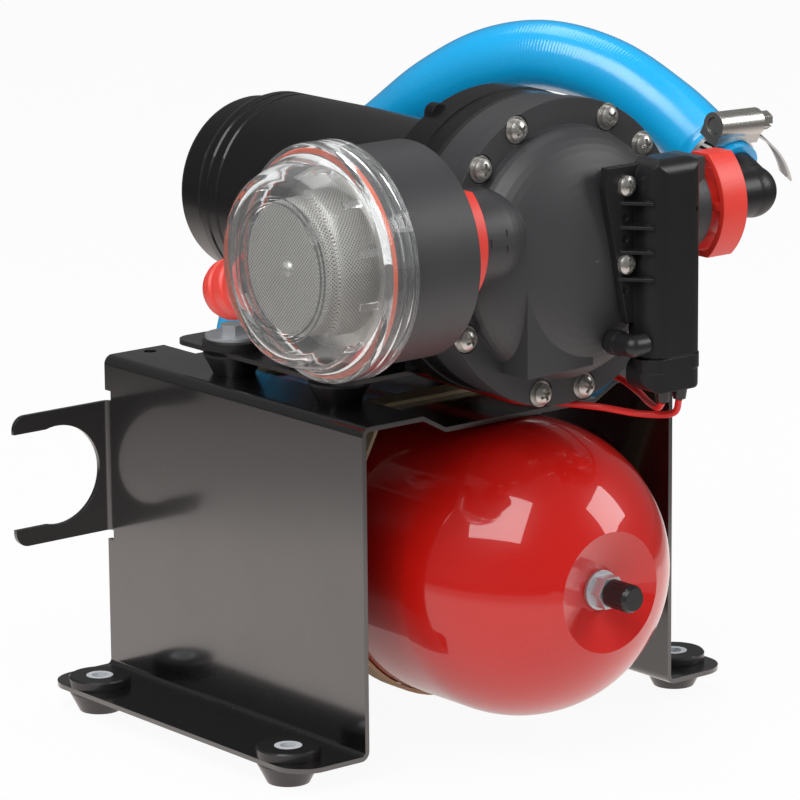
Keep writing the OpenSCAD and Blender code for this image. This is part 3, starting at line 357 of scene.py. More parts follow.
@dataclass(frozen=True)
class SlottedSteel(Finish):
    """Clamp band steel; the floors of its slots, marked by one in the UV map's Y, get a painted shade."""

    # Near-black painted shade for the slot floors.
    slot_painted_shade: str = "#1b1c1e"
    line_mm: float = 0.303
    line_depth_mm: float = 0.01

    def pattern(self, tree: bpy.types.NodeTree, shader: bpy.types.Node) -> None:
        """Painted shade on the slot floors, and rolling lines 0.3 mm apart along the band.

        Args:
            tree: node tree of the material.
            shader: shader that takes the pattern.
        """
        place = add(tree, "ShaderNodeUVMap", uv_map="UVMap").outputs["UV"]
        parts = add(tree, "ShaderNodeSeparateXYZ", links={"Vector": place})
        # Painted shade where the UV map's Y marks a slot floor.
        self.tint(tree, shader, (self.colour, self.slot_painted_shade), parts.outputs["Y"])
        self.relief(tree, shader, self.noise(tree, self.line_mm, 1.0), 0.2, self.line_depth_mm)


# Powder coat cooked on folded steel: near black, mirrors the floor softly at a low angle.
BRACKET_COAT = GlossPaint(
    "powder_coated_steel", "#131314", roughness=0.24, coat=1.0, coat_roughness=0.13, coat_ior=1.9, edge_mm=0.6,
)
# Motor enamel: deep black gloss with thin highlights on its rolled beads.
MOTOR_ENAMEL = GlossPaint(
    "black_motor_enamel", "#111112", roughness=0.36, specular=0.4, coat=0.55, coat_roughness=0.06, edge_mm=0.6,
)
# Cast drive housing under the same enamel, a little duller.
CAST_ENAMEL = GlossPaint(
    "enamelled_casting", "#161618", roughness=0.38, specular=0.4, coat=0.15, peel_mm=1.4, peel_depth_mm=0.03,
    edge_mm=0.7,
)
# Tank enamel: saturated red under a deep clear gloss that mirrors lamps and floor.
TANK_ENAMEL = GlossPaint(
    "red_tank_enamel", "#cc1710", roughness=0.3, specular=0.2, coat=1.0, coat_roughness=0.03, coat_ior=1.6,
    peel_mm=3.5, peel_depth_mm=0.006,
)
# Glass-filled nylon of pump head and strainer: charcoal, soft sheen, fibres that sparkle a little.
CHARCOAL_NYLON = MouldedPlastic(
    "glass_filled_nylon", "#2e2e30", roughness=0.5, specular=0.8, tone="#39393c", edge_mm=0.5,
)
# Switch housing: darker and smoother than the pump head.
SWITCH_ABS = MouldedPlastic("black_abs", "#18181a", roughness=0.36, tone="#202022", edge_mm=0.7)
# Elbow, tee and sense tube: plain black nylon.
ELBOW_NYLON = MouldedPlastic("black_nylon", "#1c1c1e", roughness=0.36, tone="#262628", edge_mm=0.6)
# Clips: even signal red, slightly waxy.
RED_POM = MouldedPlastic(
    "red_acetal", "#e62e22", roughness=0.42, specular=0.8, tone="#ee3e30", grain_depth_mm=0.012, edge_mm=0.6,
)
# Dust cap of the hose tail: soft dipped vinyl, a little paler than the clips.
RED_VINYL = MouldedPlastic(
    "red_vinyl", "#e5372c", roughness=0.42, specular=0.8, tone="#f0483b", grain_depth_mm=0.015, edge_mm=0.8,
)
# Wires: smooth red insulation.
WIRE_PVC = MouldedPlastic("red_wire_pvc", "#d6211e", roughness=0.32, tone="#df2f2a", grain_depth_mm=0.01)
# Hose: clear-skinned blue vinyl over a fine spiral, broad bright highlights.
HOSE_PVC = MouldedPlastic(
    "blue_hose_pvc", "#06b4fa", roughness=0.3, coat=0.8, coat_roughness=0.12, coat_ior=1.6, tone="#16bfff",
    grain_depth_mm=0.006,
)
# Feet, boots and seals: black rubber with the dull gloss of its mould.
MOUNT_RUBBER = MouldedPlastic(
    "moulded_rubber", "#121213", roughness=0.5, coat=0.7, coat_roughness=0.16, tone="#1b1b1d",
    grain_depth_mm=0.012, edge_mm=0.6,
)
# Seal of the clear cap: matt orange silicone.
SEAL_RUBBER = MouldedPlastic("orange_silicone", "#f4571c", roughness=0.5, tone="#f86428", grain_depth_mm=0.01)
# Tank straps: undyed nylon, cream.
STRAP_NYLON = MouldedPlastic("natural_nylon", "#e6cfae", roughness=0.45, tone="#efdcc0", edge_mm=0.3)
# Inner pump pieces: white acetal.
WHITE_ACETAL = MouldedPlastic("white_acetal", "#d9d8d0", roughness=0.4, tone="#e4e3dc")
# Valve cap and micro switch: black polyethylene.
BLACK_CAP = MouldedPlastic("black_polyethylene", "#1b1b1c", roughness=0.36, tone="#252526", edge_mm=0.3)
# Inside the motor: board, brushes and magnets, all matt.
BROWN_BOARD = MouldedPlastic("insulating_board", "#6a4526", roughness=0.6, tone="#7a5330")
CARBON = MouldedPlastic("pressed_carbon", "#232325", roughness=0.55, tone="#2f2f31")
FERRITE = MouldedPlastic("sintered_ferrite", "#4a4745", roughness=0.7, tone="#575350")
# Screws and clamp: bright stainless with soft turned lines.
STAINLESS = BrightMetal("stainless_steel", "#cfcdc8", roughness=0.3, metallic=0.9, edge_mm=0.25)
# Clamp band: the same steel with painted shade in its slots.
BAND_STEEL = SlottedSteel("slotted_band_steel", "#d2d2d0", roughness=0.28, metallic=0.9)
# Nuts, bolts and washers: zinc plate, bluish and a little dull.
ZINC_PLATE = BrightMetal("zinc_plated_steel", "#cdd0d4", roughness=0.36, metallic=0.75, edge_mm=0.25)
# Foot sleeves: dull galvanised steel, pale from above.
SLEEVE_ZINC = BrightMetal("galvanised_sleeve", "#d9dde2", roughness=0.6, metallic=0.15)
# Turned and wound pieces inside: alloy shaft and hub, nickelled valve, lacquered winding.
TURNED_ALLOY = BrightMetal("turned_alloy", "#a9abae", roughness=0.32, metallic=1.0, lay=Lay.ALONG_X)
BRASS = BrightMetal("nickelled_brass", "#cfc6b2", roughness=0.24, metallic=1.0)
COPPER = BrightMetal("lacquered_copper", "#b4683b", roughness=0.35, metallic=1.0, lay=Lay.ALONG_Y)
# Clear cap: polished polycarbonate, sharp edges that catch light.
CLEAR_CAP = ClearPlastic("clear_polycarbonate", "#fbfdfd", roughness=0.015)
# Gauze: bright woven wires with a mesh of 1.15 mm, as the photograph shows it.
GAUZE = WovenWire("woven_stainless_gauze", "#d2cfc9", roughness=0.42, metallic=0.7)

NODE_FINISH: dict[str, Finish] = {
    "bracket": BRACKET_COAT, "base_plate": BRACKET_COAT, "rubber_mounts": MOUNT_RUBBER,
    "mount_sleeves": SLEEVE_ZINC, "mount_washers": ZINC_PLATE, "mount_bolts": ZINC_PLATE, "mount_nuts": ZINC_PLATE,
    "drive_housing": CAST_ENAMEL, "motor_can": MOTOR_ENAMEL, "motor_end_cap": MOTOR_ENAMEL,
    "field_magnets": FERRITE, "brush_plate": BROWN_BOARD, "carbon_brushes": CARBON, "shaft_bearings": ZINC_PLATE,
    "rotor_shaft": TURNED_ALLOY, "armature": COPPER, "commutator": COPPER, "tilted_hub": TURNED_ALLOY,
    "wobble_bearing": ZINC_PLATE, "wobble_plate": WHITE_ACETAL, "pistons": WHITE_ACETAL, "diaphragm": MOUNT_RUBBER,
    "valve_plate": CHARCOAL_NYLON, "inlet_valves": MOUNT_RUBBER, "outlet_valve": MOUNT_RUBBER,
    "pump_head": CHARCOAL_NYLON, "head_screws": STAINLESS, "head_washers": STAINLESS, "inlet_clip": RED_POM,
    "outlet_clip": RED_POM, "strainer_housing": CHARCOAL_NYLON, "strainer_basket": STAINLESS,
    "strainer_seal": SEAL_RUBBER, "strainer_cap": CLEAR_CAP, "inlet_cap": RED_VINYL, "outlet_elbow": ELBOW_NYLON,
    "port_seals": MOUNT_RUBBER, "outlet_hose": HOSE_PVC, "clamp_band": STAINLESS, "clamp_housing": STAINLESS,
    "clamp_screw": STAINLESS, "switch_cover": SWITCH_ABS, "switch_end_cap": SWITCH_ABS, "switch_screws": STAINLESS,
    "micro_switch": BLACK_CAP, "switch_plunger": WHITE_ACETAL, "switch_spring": STAINLESS, "sense_tube": ELBOW_NYLON,
    "wire_boots": MOUNT_RUBBER, "motor_wire": WIRE_PVC, "supply_wire": WIRE_PVC, "tank_shell": TANK_ENAMEL,
    "tank_bladder": MOUNT_RUBBER, "tank_tee": ELBOW_NYLON, "valve_nut": ZINC_PLATE, "valve_stem": BRASS,
    "valve_pin": BRASS, "valve_seal": MOUNT_RUBBER, "valve_cap": BLACK_CAP, "tank_straps": STRAP_NYLON,
}


@dataclass(frozen=True)
class Grid:
    """Points of a surface on a grid of two parameters.

    Attributes:
        points: rows by columns by three, in metres.
        wrap: whether the rows and the columns close on themselves.
        uv: places on the surface in millimetres, one row and column more where it wraps, or None.
    """

    points: np.ndarray
    wrap: tuple[bool, bool] = (False, True)
    uv: np.ndarray | None = None


def skin(name: str, grids: Sequence[Grid], finish: Finish, crease: float = 38.0) -> bpy.types.Object:
    """Put grids into one mesh object, with seams and poles merged and faces turned outwards.

    Args:
        name: name of the object.
        grids: surfaces that make up the piece.
        finish: finish of the whole piece.
        crease: angle in degrees above which an edge stays sharp.

    Returns:
        The object, at the origin.
    """
    places, faces, corners = [], [], []
    start = 0
    for grid in grids:
        rows, cols = grid.points.shape[:2]
        row, col = np.meshgrid(
            np.arange(rows if grid.wrap[0] else rows - 1),
            np.arange(cols if grid.wrap[1] else cols - 1), indexing="ij",
        )
        steps = ((0, 0), (0, 1), (1, 1), (1, 0))
        quad = np.stack([((row + a) % rows) * cols + (col + b) % cols for a, b in steps], -1)
        faces.append(quad.reshape(-1, 4) + start)
        uv = np.zeros((rows + 1, cols + 1, 2)) if grid.uv is None else grid.uv
        corners.append(np.stack([uv[row + a, col + b] for a, b in steps], -2).reshape(-1, 2))
        places.append(grid.points.reshape(-1, 3))
        start += rows * cols
    mesh = bpy.data.meshes.new(name)
    mesh.from_pydata(np.concatenate(places), [], np.concatenate(faces))
    layer = mesh.uv_layers.new(name="UVMap")
    layer.data.foreach_set("uv", np.concatenate(corners).astype(np.float32).ravel())
    work = bmesh.new()
    work.from_mesh(mesh)
    bmesh.ops.remove_doubles(work, verts=work.verts, dist=1e-7)
    bmesh.ops.dissolve_degenerate(work, edges=work.edges, dist=1e-8)
    bmesh.ops.recalc_face_normals(work, faces=work.faces)
    work.to_mesh(mesh)
    work.free()
    mesh.shade_smooth()
    mesh.set_sharp_from_angle(angle=math.radians(crease))
    mesh.materials.append(finish.material())
    made = bpy.data.objects.new(name, mesh)
    bpy.context.scene.collection.objects.link(made)
    return made


def unit(vectors: np.ndarray) -> np.ndarray:
    """Scale vectors along the last axis to length one."""
    return vectors / np.linalg.norm(vectors, axis=-1, keepdims=True)


def smooth_path(route: np.ndarray, spacing: float) -> np.ndarray:
    """Run a smooth curve through route points and space its points evenly.

    The curve is the cubic through four neighbours at a time, with the ends carried on straight.

    Args:
        route: route points, one per row.
        spacing: wanted distance between the points of the result.

    Returns:
        Evenly spaced points, from the first route point to the last.
    """
    ends = np.vstack([2 * route[0] - route[1], route, 2 * route[-1] - route[-2]])
    a, b, c, d = (ends[i:len(ends) - 3 + i][:, None, :] for i in range(4))
    t = np.linspace(0.0, 1.0, 40, endpoint=False)[None, :, None]
    curve = 0.5 * (2 * b + (c - a) * t + (2 * a - 5 * b + 4 * c - d) * t**2 + (3 * b - a - 3 * c + d) * t**3)
    dense = np.vstack([curve.reshape(-1, 3), route[-1:]])
    along = np.concatenate([[0.0], np.cumsum(np.linalg.norm(np.diff(dense, axis=0), axis=1))])
    wanted = np.linspace(0.0, along[-1], max(3, int(round(along[-1] / spacing)) + 1))
    return np.stack([np.interp(wanted, along, dense[:, i]) for i in range(3)], -1)


def path_length(path: np.ndarray) -> float:
    """Length of a path in its own unit."""
    return float(np.linalg.norm(np.diff(path, axis=0), axis=1).sum())


def tube_points(path: np.ndarray, radius: np.ndarray, sides: int) -> np.ndarray:
    """Rings of points round a path.

    Args:
        path: centre points, one per row.
        radius: radius at each centre point.
        sides: points in a ring.

    Returns:
        Array of rings by sides by three.
    """
    heading = unit(np.gradient(path, axis=0))
    across = unit(np.cross(heading, (1.0, 0.0, 0.0)))
    other = np.cross(heading, across)
    angle = np.linspace(0.0, 2 * np.pi, sides, endpoint=False)[None, :, None]
    ring = np.cos(angle) * across[:, None, :] + np.sin(angle) * other[:, None, :]
    return path[:, None, :] + np.asarray(radius)[:, None, None] * ring


def lathe(
    profile: np.ndarray, origin: Sequence[float], axis: Sequence[float], turns: int = 128, wrap: bool = False,
) -> Grid:
    """Turn a profile round an axis.

    Args:
        profile: rows of distance along the axis and radius, in millimetres.
        origin: point on the axis, in millimetres.
        axis: direction of the axis.
        turns: points round the axis.
        wrap: whether the last profile point joins the first.

    Returns:
        The surface, with UV in millimetres round and along it.
    """
    along = unit(np.asarray(axis, float))
    side = unit(np.cross(along, (0.0, 0.0, 1.0) if abs(along[2]) < 0.9 else (1.0, 0.0, 0.0)))
    up = np.cross(side, along)
    angle = np.linspace(0.0, 2 * np.pi, turns, endpoint=False)
    ring = np.cos(angle)[:, None] * side + np.sin(angle)[:, None] * up
    far, wide = profile[:, 0, None, None], profile[:, 1, None, None]
    points = np.asarray(origin, float) + far * along + wide * ring[None]
    closed = np.vstack([profile, profile[:1]])
    step = np.concatenate([[0.0], np.cumsum(np.linalg.norm(np.diff(closed, axis=0), axis=1))])
    round_mm = np.linspace(0.0, 2 * np.pi * profile[:, 1].max(), turns + 1)
    uv = np.stack(np.broadcast_arrays(round_mm[None, :], step[:, None]), -1)
    return Grid(points * MM, (wrap, True), uv)


def rounded(profile: Sequence[Sequence[float]], passes: int = 3) -> np.ndarray:
    """Cut the corners of an open profile so that it flows, keeping its ends.

    Each pass puts points a quarter and three quarters along every stretch.

    Args:
        profile: rows of two numbers.
        passes: how often the corners are cut.

    Returns:
        The smoother profile.
    """
    line = np.asarray(profile, float)
    for _ in range(passes):
        near = 0.75 * line[:-1] + 0.25 * line[1:]
        far = 0.25 * line[:-1] + 0.75 * line[1:]
        middle = np.stack([near, far], 1).reshape(-1, 2)
        line = np.vstack([line[:1], middle[1:-1], line[-1:]])
    return line


@dataclass
class Studio:
    """White studio: camera at the photograph's angle, soft lamps, floor and world.

    Attributes:
        place: place of the camera in metres; right, up and back are its axes.
        lens_mm: focal length on a sensor of sensor_mm.
        floor_size: width of the floor in metres; floor_low is how far it lies under the feet.
        floor_white: how much of the floor is plain white to the camera; the rest shows the shadow.
        floor_glow: colour of the floor in reflections, a painted warm bounce of light from the red tank.
        floor_fades: where each drop of the mirrored floor's light starts and ends, in metres from the middle, and
            its share: a painted shadow under the tank, then two fall-offs outwards that leave a painted pool of light.
        soft_light: strength of the world for soft light.
        mirror_light: strength of the world in reflections.
    """

    place: tuple[float, float, float] = (-1.197941, -1.493887, 0.579741)
    right: tuple[float, float, float] = (0.777002, -0.629442, -0.008375)
    up: tuple[float, float, float] = (0.150209, 0.172469, 0.973495)
    back: tuple[float, float, float] = (-0.611314, -0.757665, 0.228557)
    lens_mm: float = 209.545
    sensor_mm: float = 36.0
    floor_size: float = 8.0
    floor_low: float = 0.0004
    floor_white: float = 0.94
    # Colour of the floor in reflections: painted warm bounce light from the red tank.
    floor_glow: str = "#fff5f1"
    floor_fades: tuple[tuple[float, float, float], ...] = (
        (0.15, 0.06, 0.35), (0.34, 0.52, 0.52), (0.55, 0.8, 0.4),
    )
    soft_light: float = 0.4
    mirror_light: float = 0.12

    def camera(self) -> None:
        """Set up the camera from its axes."""
        data = bpy.data.cameras.new("photo_camera")
        data.lens = self.lens_mm
        data.sensor_width = self.sensor_mm
        data.clip_end = 20.0
        camera = bpy.data.objects.new("photo_camera", data)
        turn = Matrix((self.right, self.up, self.back)).transposed().to_4x4()
        camera.matrix_world = Matrix.Translation(self.place) @ turn
        bpy.context.scene.collection.objects.link(camera)
        bpy.context.scene.camera = camera

    def lamps(self) -> None:
        """Hang the soft boxes; the power follows from radiance and area."""
        for lamp in Lamp:
            place, aim, size, radiance = lamp.value
            data = bpy.data.lights.new(lamp.name.lower(), "AREA")
            data.shape = "RECTANGLE"
            data.size, data.size_y = size
            data.energy = radiance * math.pi * size[0] * size[1]
            holder = bpy.data.objects.new(lamp.name.lower(), data)
            back = unit(np.subtract(place, aim))
            side = unit(np.cross((0.0, 1.0, 0.0) if abs(back[2]) > 0.9 else (0.0, 0.0, 1.0), back))
            turn = Matrix((side, np.cross(back, side), back)).transposed().to_4x4()
            holder.matrix_world = Matrix.Translation(place) @ turn
            bpy.context.scene.collection.objects.link(holder)

    def floor(self) -> None:
        """Lay the pale floor: white to the camera with its soft shadow; painted light and shadow in reflections."""
        half = self.floor_size / 2
        ticks = np.linspace(-half, half, 9)
        x, y = np.meshgrid(ticks, ticks, indexing="ij")
        points = np.stack([x, y, np.full_like(x, -self.floor_low)], -1)
        paper = Finish("white_paper", "#f4f4f4", roughness=0.9)
        floor = skin("floor", [Grid(points, (False, False))], paper)
        tree = paper.material().node_tree
        shader = next(n for n in tree.nodes if n.type == "BSDF_PRINCIPLED")
        output = next(n for n in tree.nodes if n.type == "OUTPUT_MATERIAL")
        rays = add(tree, "ShaderNodeLightPath")
        place = add(tree, "ShaderNodeTexCoord").outputs["Object"]
        away = add(tree, "ShaderNodeVectorMath", links={0: place}, operation="LENGTH").outputs["Value"]
        # Painted light for reflections: a warm pool on the floor fading outwards, with a painted shadow under the
        # tank.
        level: bpy.types.NodeSocket | None = None
        for near, far, drop in self.floor_fades:
            fade = add(
                tree, "ShaderNodeMapRange", {"From Min": near, "From Max": far, "To Min": 0.0, "To Max": drop},
                {"Value": away}, interpolation_type="SMOOTHSTEP",
            ).outputs["Result"]
            left = add(tree, "ShaderNodeMath", {0: 1.0}, {1: fade}, operation="SUBTRACT")
            if level is not None:
                tree.links.new(level, left.inputs[0])
            level = left.outputs[0]
        mirrored = add(tree, "ShaderNodeEmission", {"Color": linear(self.floor_glow)}, {"Strength": level})
        white = add(tree, "ShaderNodeEmission", {"Color": linear("#ffffff"), "Strength": 1.0})
        seen = add(
            tree, "ShaderNodeMath", {1: self.floor_white}, {0: rays.outputs["Is Camera Ray"]},
            operation="MULTIPLY",
        )
        clear = add(
            tree, "ShaderNodeMath", links={0: seen.outputs[0], 1: rays.outputs["Is Transmission Ray"]},
            operation="MAXIMUM",
        )
        pale = add(
            tree, "ShaderNodeMixShader", links={0: clear.outputs[0], 1: shader.outputs[0], 2: white.outputs[0]},
        )
        mixed = add(
            tree, "ShaderNodeMixShader",
            links={0: rays.outputs["Is Glossy Ray"], 1: pale.outputs[0], 2: mirrored.outputs[0]},
        )
        tree.links.new(mixed.outputs[0], output.inputs["Surface"])

    def world(self) -> None:
        """Surround it with white for the camera and through clear plastic, grey for soft light, dim in reflections."""
        world = bpy.data.worlds.new("studio_world")
        bpy.context.scene.world = world
        world.use_nodes = True
        tree = world.node_tree
        tree.nodes.clear()
        rays = add(tree, "ShaderNodeLightPath")
        quiet = add(tree, "ShaderNodeBackground", {"Color": linear("#ffffff"), "Strength": self.soft_light})
        white = add(tree, "ShaderNodeBackground", {"Color": linear("#ffffff"), "Strength": 1.0})
        dim = add(tree, "ShaderNodeBackground", {"Color": linear("#ffffff"), "Strength": self.mirror_light})
        clear = add(
            tree, "ShaderNodeMath",
            links={0: rays.outputs["Is Camera Ray"], 1: rays.outputs["Is Transmission Ray"]},
            operation="MAXIMUM",
        )
        lit = add(
            tree, "ShaderNodeMixShader",
            links={0: rays.outputs["Is Glossy Ray"], 1: quiet.outputs[0], 2: dim.outputs[0]},
        )
        mixed = add(
            tree, "ShaderNodeMixShader", links={0: clear.outputs[0], 1: lit.outputs[0], 2: white.outputs[0]},
        )
        add(tree, "ShaderNodeOutputWorld", links={"Surface": mixed.outputs[0]})

    def build(self) -> None:
        """Set up camera, lamps, floor, world and the plain view transform."""
        self.camera()
        self.lamps()
        self.floor()
        self.world()
        bpy.context.scene.view_settings.view_transform = "Standard"
        log.info("studio: camera, %d lamps, floor and world", len(Lamp))


@dataclass
class Hose:
    """Blue outlet hose from the elbow over the pump and down behind the bracket to the tee.

    Attributes:
        radius: outer radius; all lengths are in millimetres.
        pinched_radius: outer radius under the clamp.
        pinch_end: way along the hose where the pinch ends; pinch_fade is the stretch in which it grows again.
        bore: inner radius; bore_step is the spacing of its rings.
        ring_pitch: distance between the fine rings of the wall, with their height.
        sides: points round the hose.
        route: points that the middle line runs through.
    """

    radius: float = 14.8
    pinched_radius: float = 13.5
    pinch_end: float = 14.7
    pinch_fade: float = 3.6
    bore: float = 9.8
    bore_step: float = 3.0
    ring_pitch: float = 1.25
    ring_height: float = 0.09
    sides: int = 44
    route: tuple[tuple[float, float, float], ...] = (
        (101.5, -103.0217, 229.5031), (101.5, -93.3093, 234.6673), (101.5, -83.5968, 239.8315),
        (98.5, -65.4, 251.1), (88.6, -41.7, 265.2), (76.4, -15.9, 271.1), (66.4, 10, 266), (60.3, 37.9, 251.4),
        (58.8, 65.1, 233.3), (54.9, 93.1, 212.3), (45.5, 116.7, 185.8), (32.5, 127.4, 156.2),
        (21.2544, 125.2544, 130.2264), (13.8839, 117.8839, 111.4221), (6.5134, 110.5134, 92.6178),
    )

    def build(self) -> bpy.types.Object:
        """Make the hose wall with its fine rings and its bore.

        The outer radius waves along the path once per ring and is smaller where the clamp pinches the end; the
        bore follows the same path back.

        Returns:
            The hose, attached to the frame.
        """
        route = np.array(self.route)
        path = smooth_path(route, self.ring_pitch / 4)
        along = np.linspace(0.0, path_length(path), len(path))
        wave = self.ring_height * (np.cos(2 * np.pi * along / self.ring_pitch) - 1) / 2
        grown = np.clip((along - self.pinch_end) / self.pinch_fade, 0.0, 1.0)
        plain = self.pinched_radius + (self.radius - self.pinched_radius) * grown
        outer = tube_points(path, plain + wave, self.sides)
        middle = smooth_path(route, self.bore_step)
        inner = tube_points(middle, np.full(len(middle), self.bore), self.sides)[::-1]
        points = np.concatenate([outer, inner]) * MM
        hose = skin("hose_wall", [Grid(points, (True, True))], HOSE_PVC, crease=60)
        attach(hose, "frame")
        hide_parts("outlet_hose")
        log.info("hose: %.0f mm long", path_length(path))
        return hose


@dataclass
class Wire:
    """One red wire from the switch to the motor.

    Attributes:
        name: name of the piece.
        node: CAD node that the piece replaces.
        route: points that the middle line runs through, in millimetres.
        radius: radius over the insulation, in millimetres.
        step: spacing of the rings, in millimetres.
        sides: points round the wire.
    """

    name: str
    node: str
    route: tuple[tuple[float, float, float], ...]
    radius: float = 1.4
    step: float = 1.2
    sides: int = 18

    def build(self) -> bpy.types.Object:
        """Make the wire as a tube whose ends close to a point.

        The path gets a point just beyond each end, so that the closing rings still have a heading.

        Returns:
            The wire, attached to the frame.
        """
        path = smooth_path(np.array(self.route), self.step)
        beyond = 0.01
        first = path[:1] - beyond * unit(path[1:2] - path[:1])
        last = path[-1:] + beyond * unit(path[-1:] - path[-2:-1])
        radius = np.concatenate([[0.0], np.full(len(path), self.radius), [0.0]])
        points = tube_points(np.concatenate([first, path, last]), radius, self.sides)
        points[0], points[-1] = path[0], path[-1]
        wire = skin(self.name, [Grid(points * MM, (False, True))], WIRE_PVC)
        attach(wire, "frame")
        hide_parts(self.node)
        log.info("%s: %.0f mm long", self.name, path_length(path))
        return wire


MOTOR_WIRE = (
    (35.7, -144, 151), (36.7, -139, 143.7), (29, -127.5, 142.7), (16, -117.5, 145.7), (5, -103.5, 146.7),
    (-2, -87.5, 145.7), (-3, -67, 146.2), (-3, -20, 147.2), (-3, 30, 149.2), (-3, 60, 152.2), (-3, 80, 162.2),
    (-3, 83, 175),
)
SUPPLY_WIRE = (
    (26.7, -144, 151), (27.7, -140, 147.7), (34, -127.5, 146.7), (40, -113.5, 148.2), (42, -97.5, 151.2),
    (40, -77.5, 150.2), (36, -58, 149.2), (22, -14, 148.2), (8, 30, 149.2), (3, 60, 152.2), (3, 80, 162.2),
    (3, 83, 175),
)


@dataclass
class HoseClamp:
    """Slotted band round the hose, with its free end.

    Attributes:
        centre: middle of the ring; all lengths are in millimetres.
        rise: slope of the hose there in degrees; turn is how far the screw leans to the side.
        radius: middle radius of the band, with its thickness and width.
        slot_pitch: distance between slots, with their half length, depth and slant.
        slot_share: cosine above which a place along the pitch lies in a slot.
        tail_level: height of the free end's straight stretch, which runs between the two values of tail_run.
        tail_centre: centre of its arc, with radius and the two end angles in degrees.
        tail_trim: how much narrower each side of the free end is.
    """

    centre: tuple[float, float, float] = (101.5, -95.95810, 233.25890)
    rise: float = 28.0
    turn: float = 2.0
    radius: float = 14.0
    thickness: float = 0.8
    width: float = 9.0
    slot_pitch: float = 2.6
    slot_half: float = 2.7
    slot_depth: float = 0.3
    slant: float = 0.3
    slot_share: float = 0.3
    tail_level: float = -14.7
    tail_run: tuple[float, float] = (-1.0, 10.9)
    tail_centre: tuple[float, float] = (-22.4, 60.73)
    tail_radius: float = 82.6
    tail_ends: tuple[float, float] = (-66.0, -36.0)
    tail_trim: float = 0.5
    ring_steps: int = 430
    arc_steps: int = 190
    run_steps: int = 50
    side_steps: int = 37

    def axes(self) -> np.ndarray:
        """Axes of the clamp as rows: towards the screw head, away from the screw, along the hose."""
        rise, turn = math.radians(self.rise), math.radians(self.turn)
        across = np.array([1.0, 0.0, 0.0])
        down = np.array([0.0, math.sin(rise), -math.cos(rise)])
        along = np.array([0.0, math.cos(rise), math.sin(rise)])
        first = math.cos(turn) * across + math.sin(turn) * down
        second = math.cos(turn) * down - math.sin(turn) * across
        return np.stack([first, second, along])

    def strip(self, middle: np.ndarray, outward: np.ndarray, half: float, closed: bool) -> Grid:
        """Carry the slotted band section along a plane path.

        Both faces lie half a thickness off the path and sink by the slot depth where the cosine of the way
        along, shifted by the slant, is over slot_share and the place across is within the slot's half length.

        Args:
            middle: path in the clamp's plane, in millimetres.
            outward: unit vectors away from the hose at each path point.
            half: half the band's width.
            closed: whether the path closes on itself.

        Returns:
            The strip, with UV that marks the floors of the slots for their painted shade.
        """
        way = np.concatenate([[0.0], np.cumsum(np.linalg.norm(np.diff(middle, axis=0), axis=1))])[:, None]
        side = np.linspace(-half, half, self.side_steps)[None, :]
        wave = np.cos(2 * np.pi * (way + self.slant * side) / self.slot_pitch)
        slot = np.where((wave > self.slot_share) & (np.abs(side) < self.slot_half), 1.0, 0.0)
        face = self.thickness / 2 - self.slot_depth * slot
        across = np.broadcast_to(side, slot.shape)
        lift = np.concatenate([face, -face[:, ::-1]], 1)
        place = np.concatenate([across, across[:, ::-1]], 1)
        mark = np.concatenate([slot, slot[:, ::-1]], 1)
        flat = middle[:, None, :] + lift[..., None] * outward[:, None, :]
        local = np.concatenate([flat, place[..., None]], -1)
        if not closed:
            ends = [local[i].mean(axis=0, keepdims=True).repeat(local.shape[1], 0)[None] for i in (0, -1)]
            local = np.concatenate([ends[0], local, ends[1]])
            mark = np.concatenate([np.zeros_like(mark[:1]), mark, np.zeros_like(mark[:1])])
        points = np.asarray(self.centre) + local @ self.axes()
        mark = np.concatenate([mark, mark[:1]])
        mark = np.concatenate([mark, mark[:, :1]], 1)
        return Grid(points * MM, (closed, True), np.stack([np.zeros_like(mark), mark], -1))

    def build(self) -> bpy.types.Object:
        """Make the ring and the free end, which is a straight stretch under the screw and a shallow arc.

        Returns:
            The band, in place of its plain solid.
        """
        angle = np.linspace(0.0, 2 * np.pi, self.ring_steps, endpoint=False)
        spoke = np.stack([np.cos(angle), np.sin(angle)], -1)
        ring = self.strip(self.radius * spoke, spoke, self.width / 2, True)
        bend = np.radians(np.linspace(*self.tail_ends, self.arc_steps))
        spread = np.stack([np.cos(bend), np.sin(bend)], -1)
        arc = np.array(self.tail_centre) + self.tail_radius * spread
        level = np.full(self.run_steps, self.tail_level)
        run = np.stack([np.linspace(*self.tail_run, self.run_steps), level], -1)
        facing = np.concatenate([np.tile([0.0, -1.0], (self.run_steps, 1)), spread])
        tail = self.strip(np.concatenate([run, arc]), facing, self.width / 2 - self.tail_trim, False)
        made = skin("slotted_band", [ring, tail], BAND_STEEL, crease=35)
        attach(made, "frame")
        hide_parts("clamp_band")
        log.info("hose clamp: slotted band and free end")
        return made


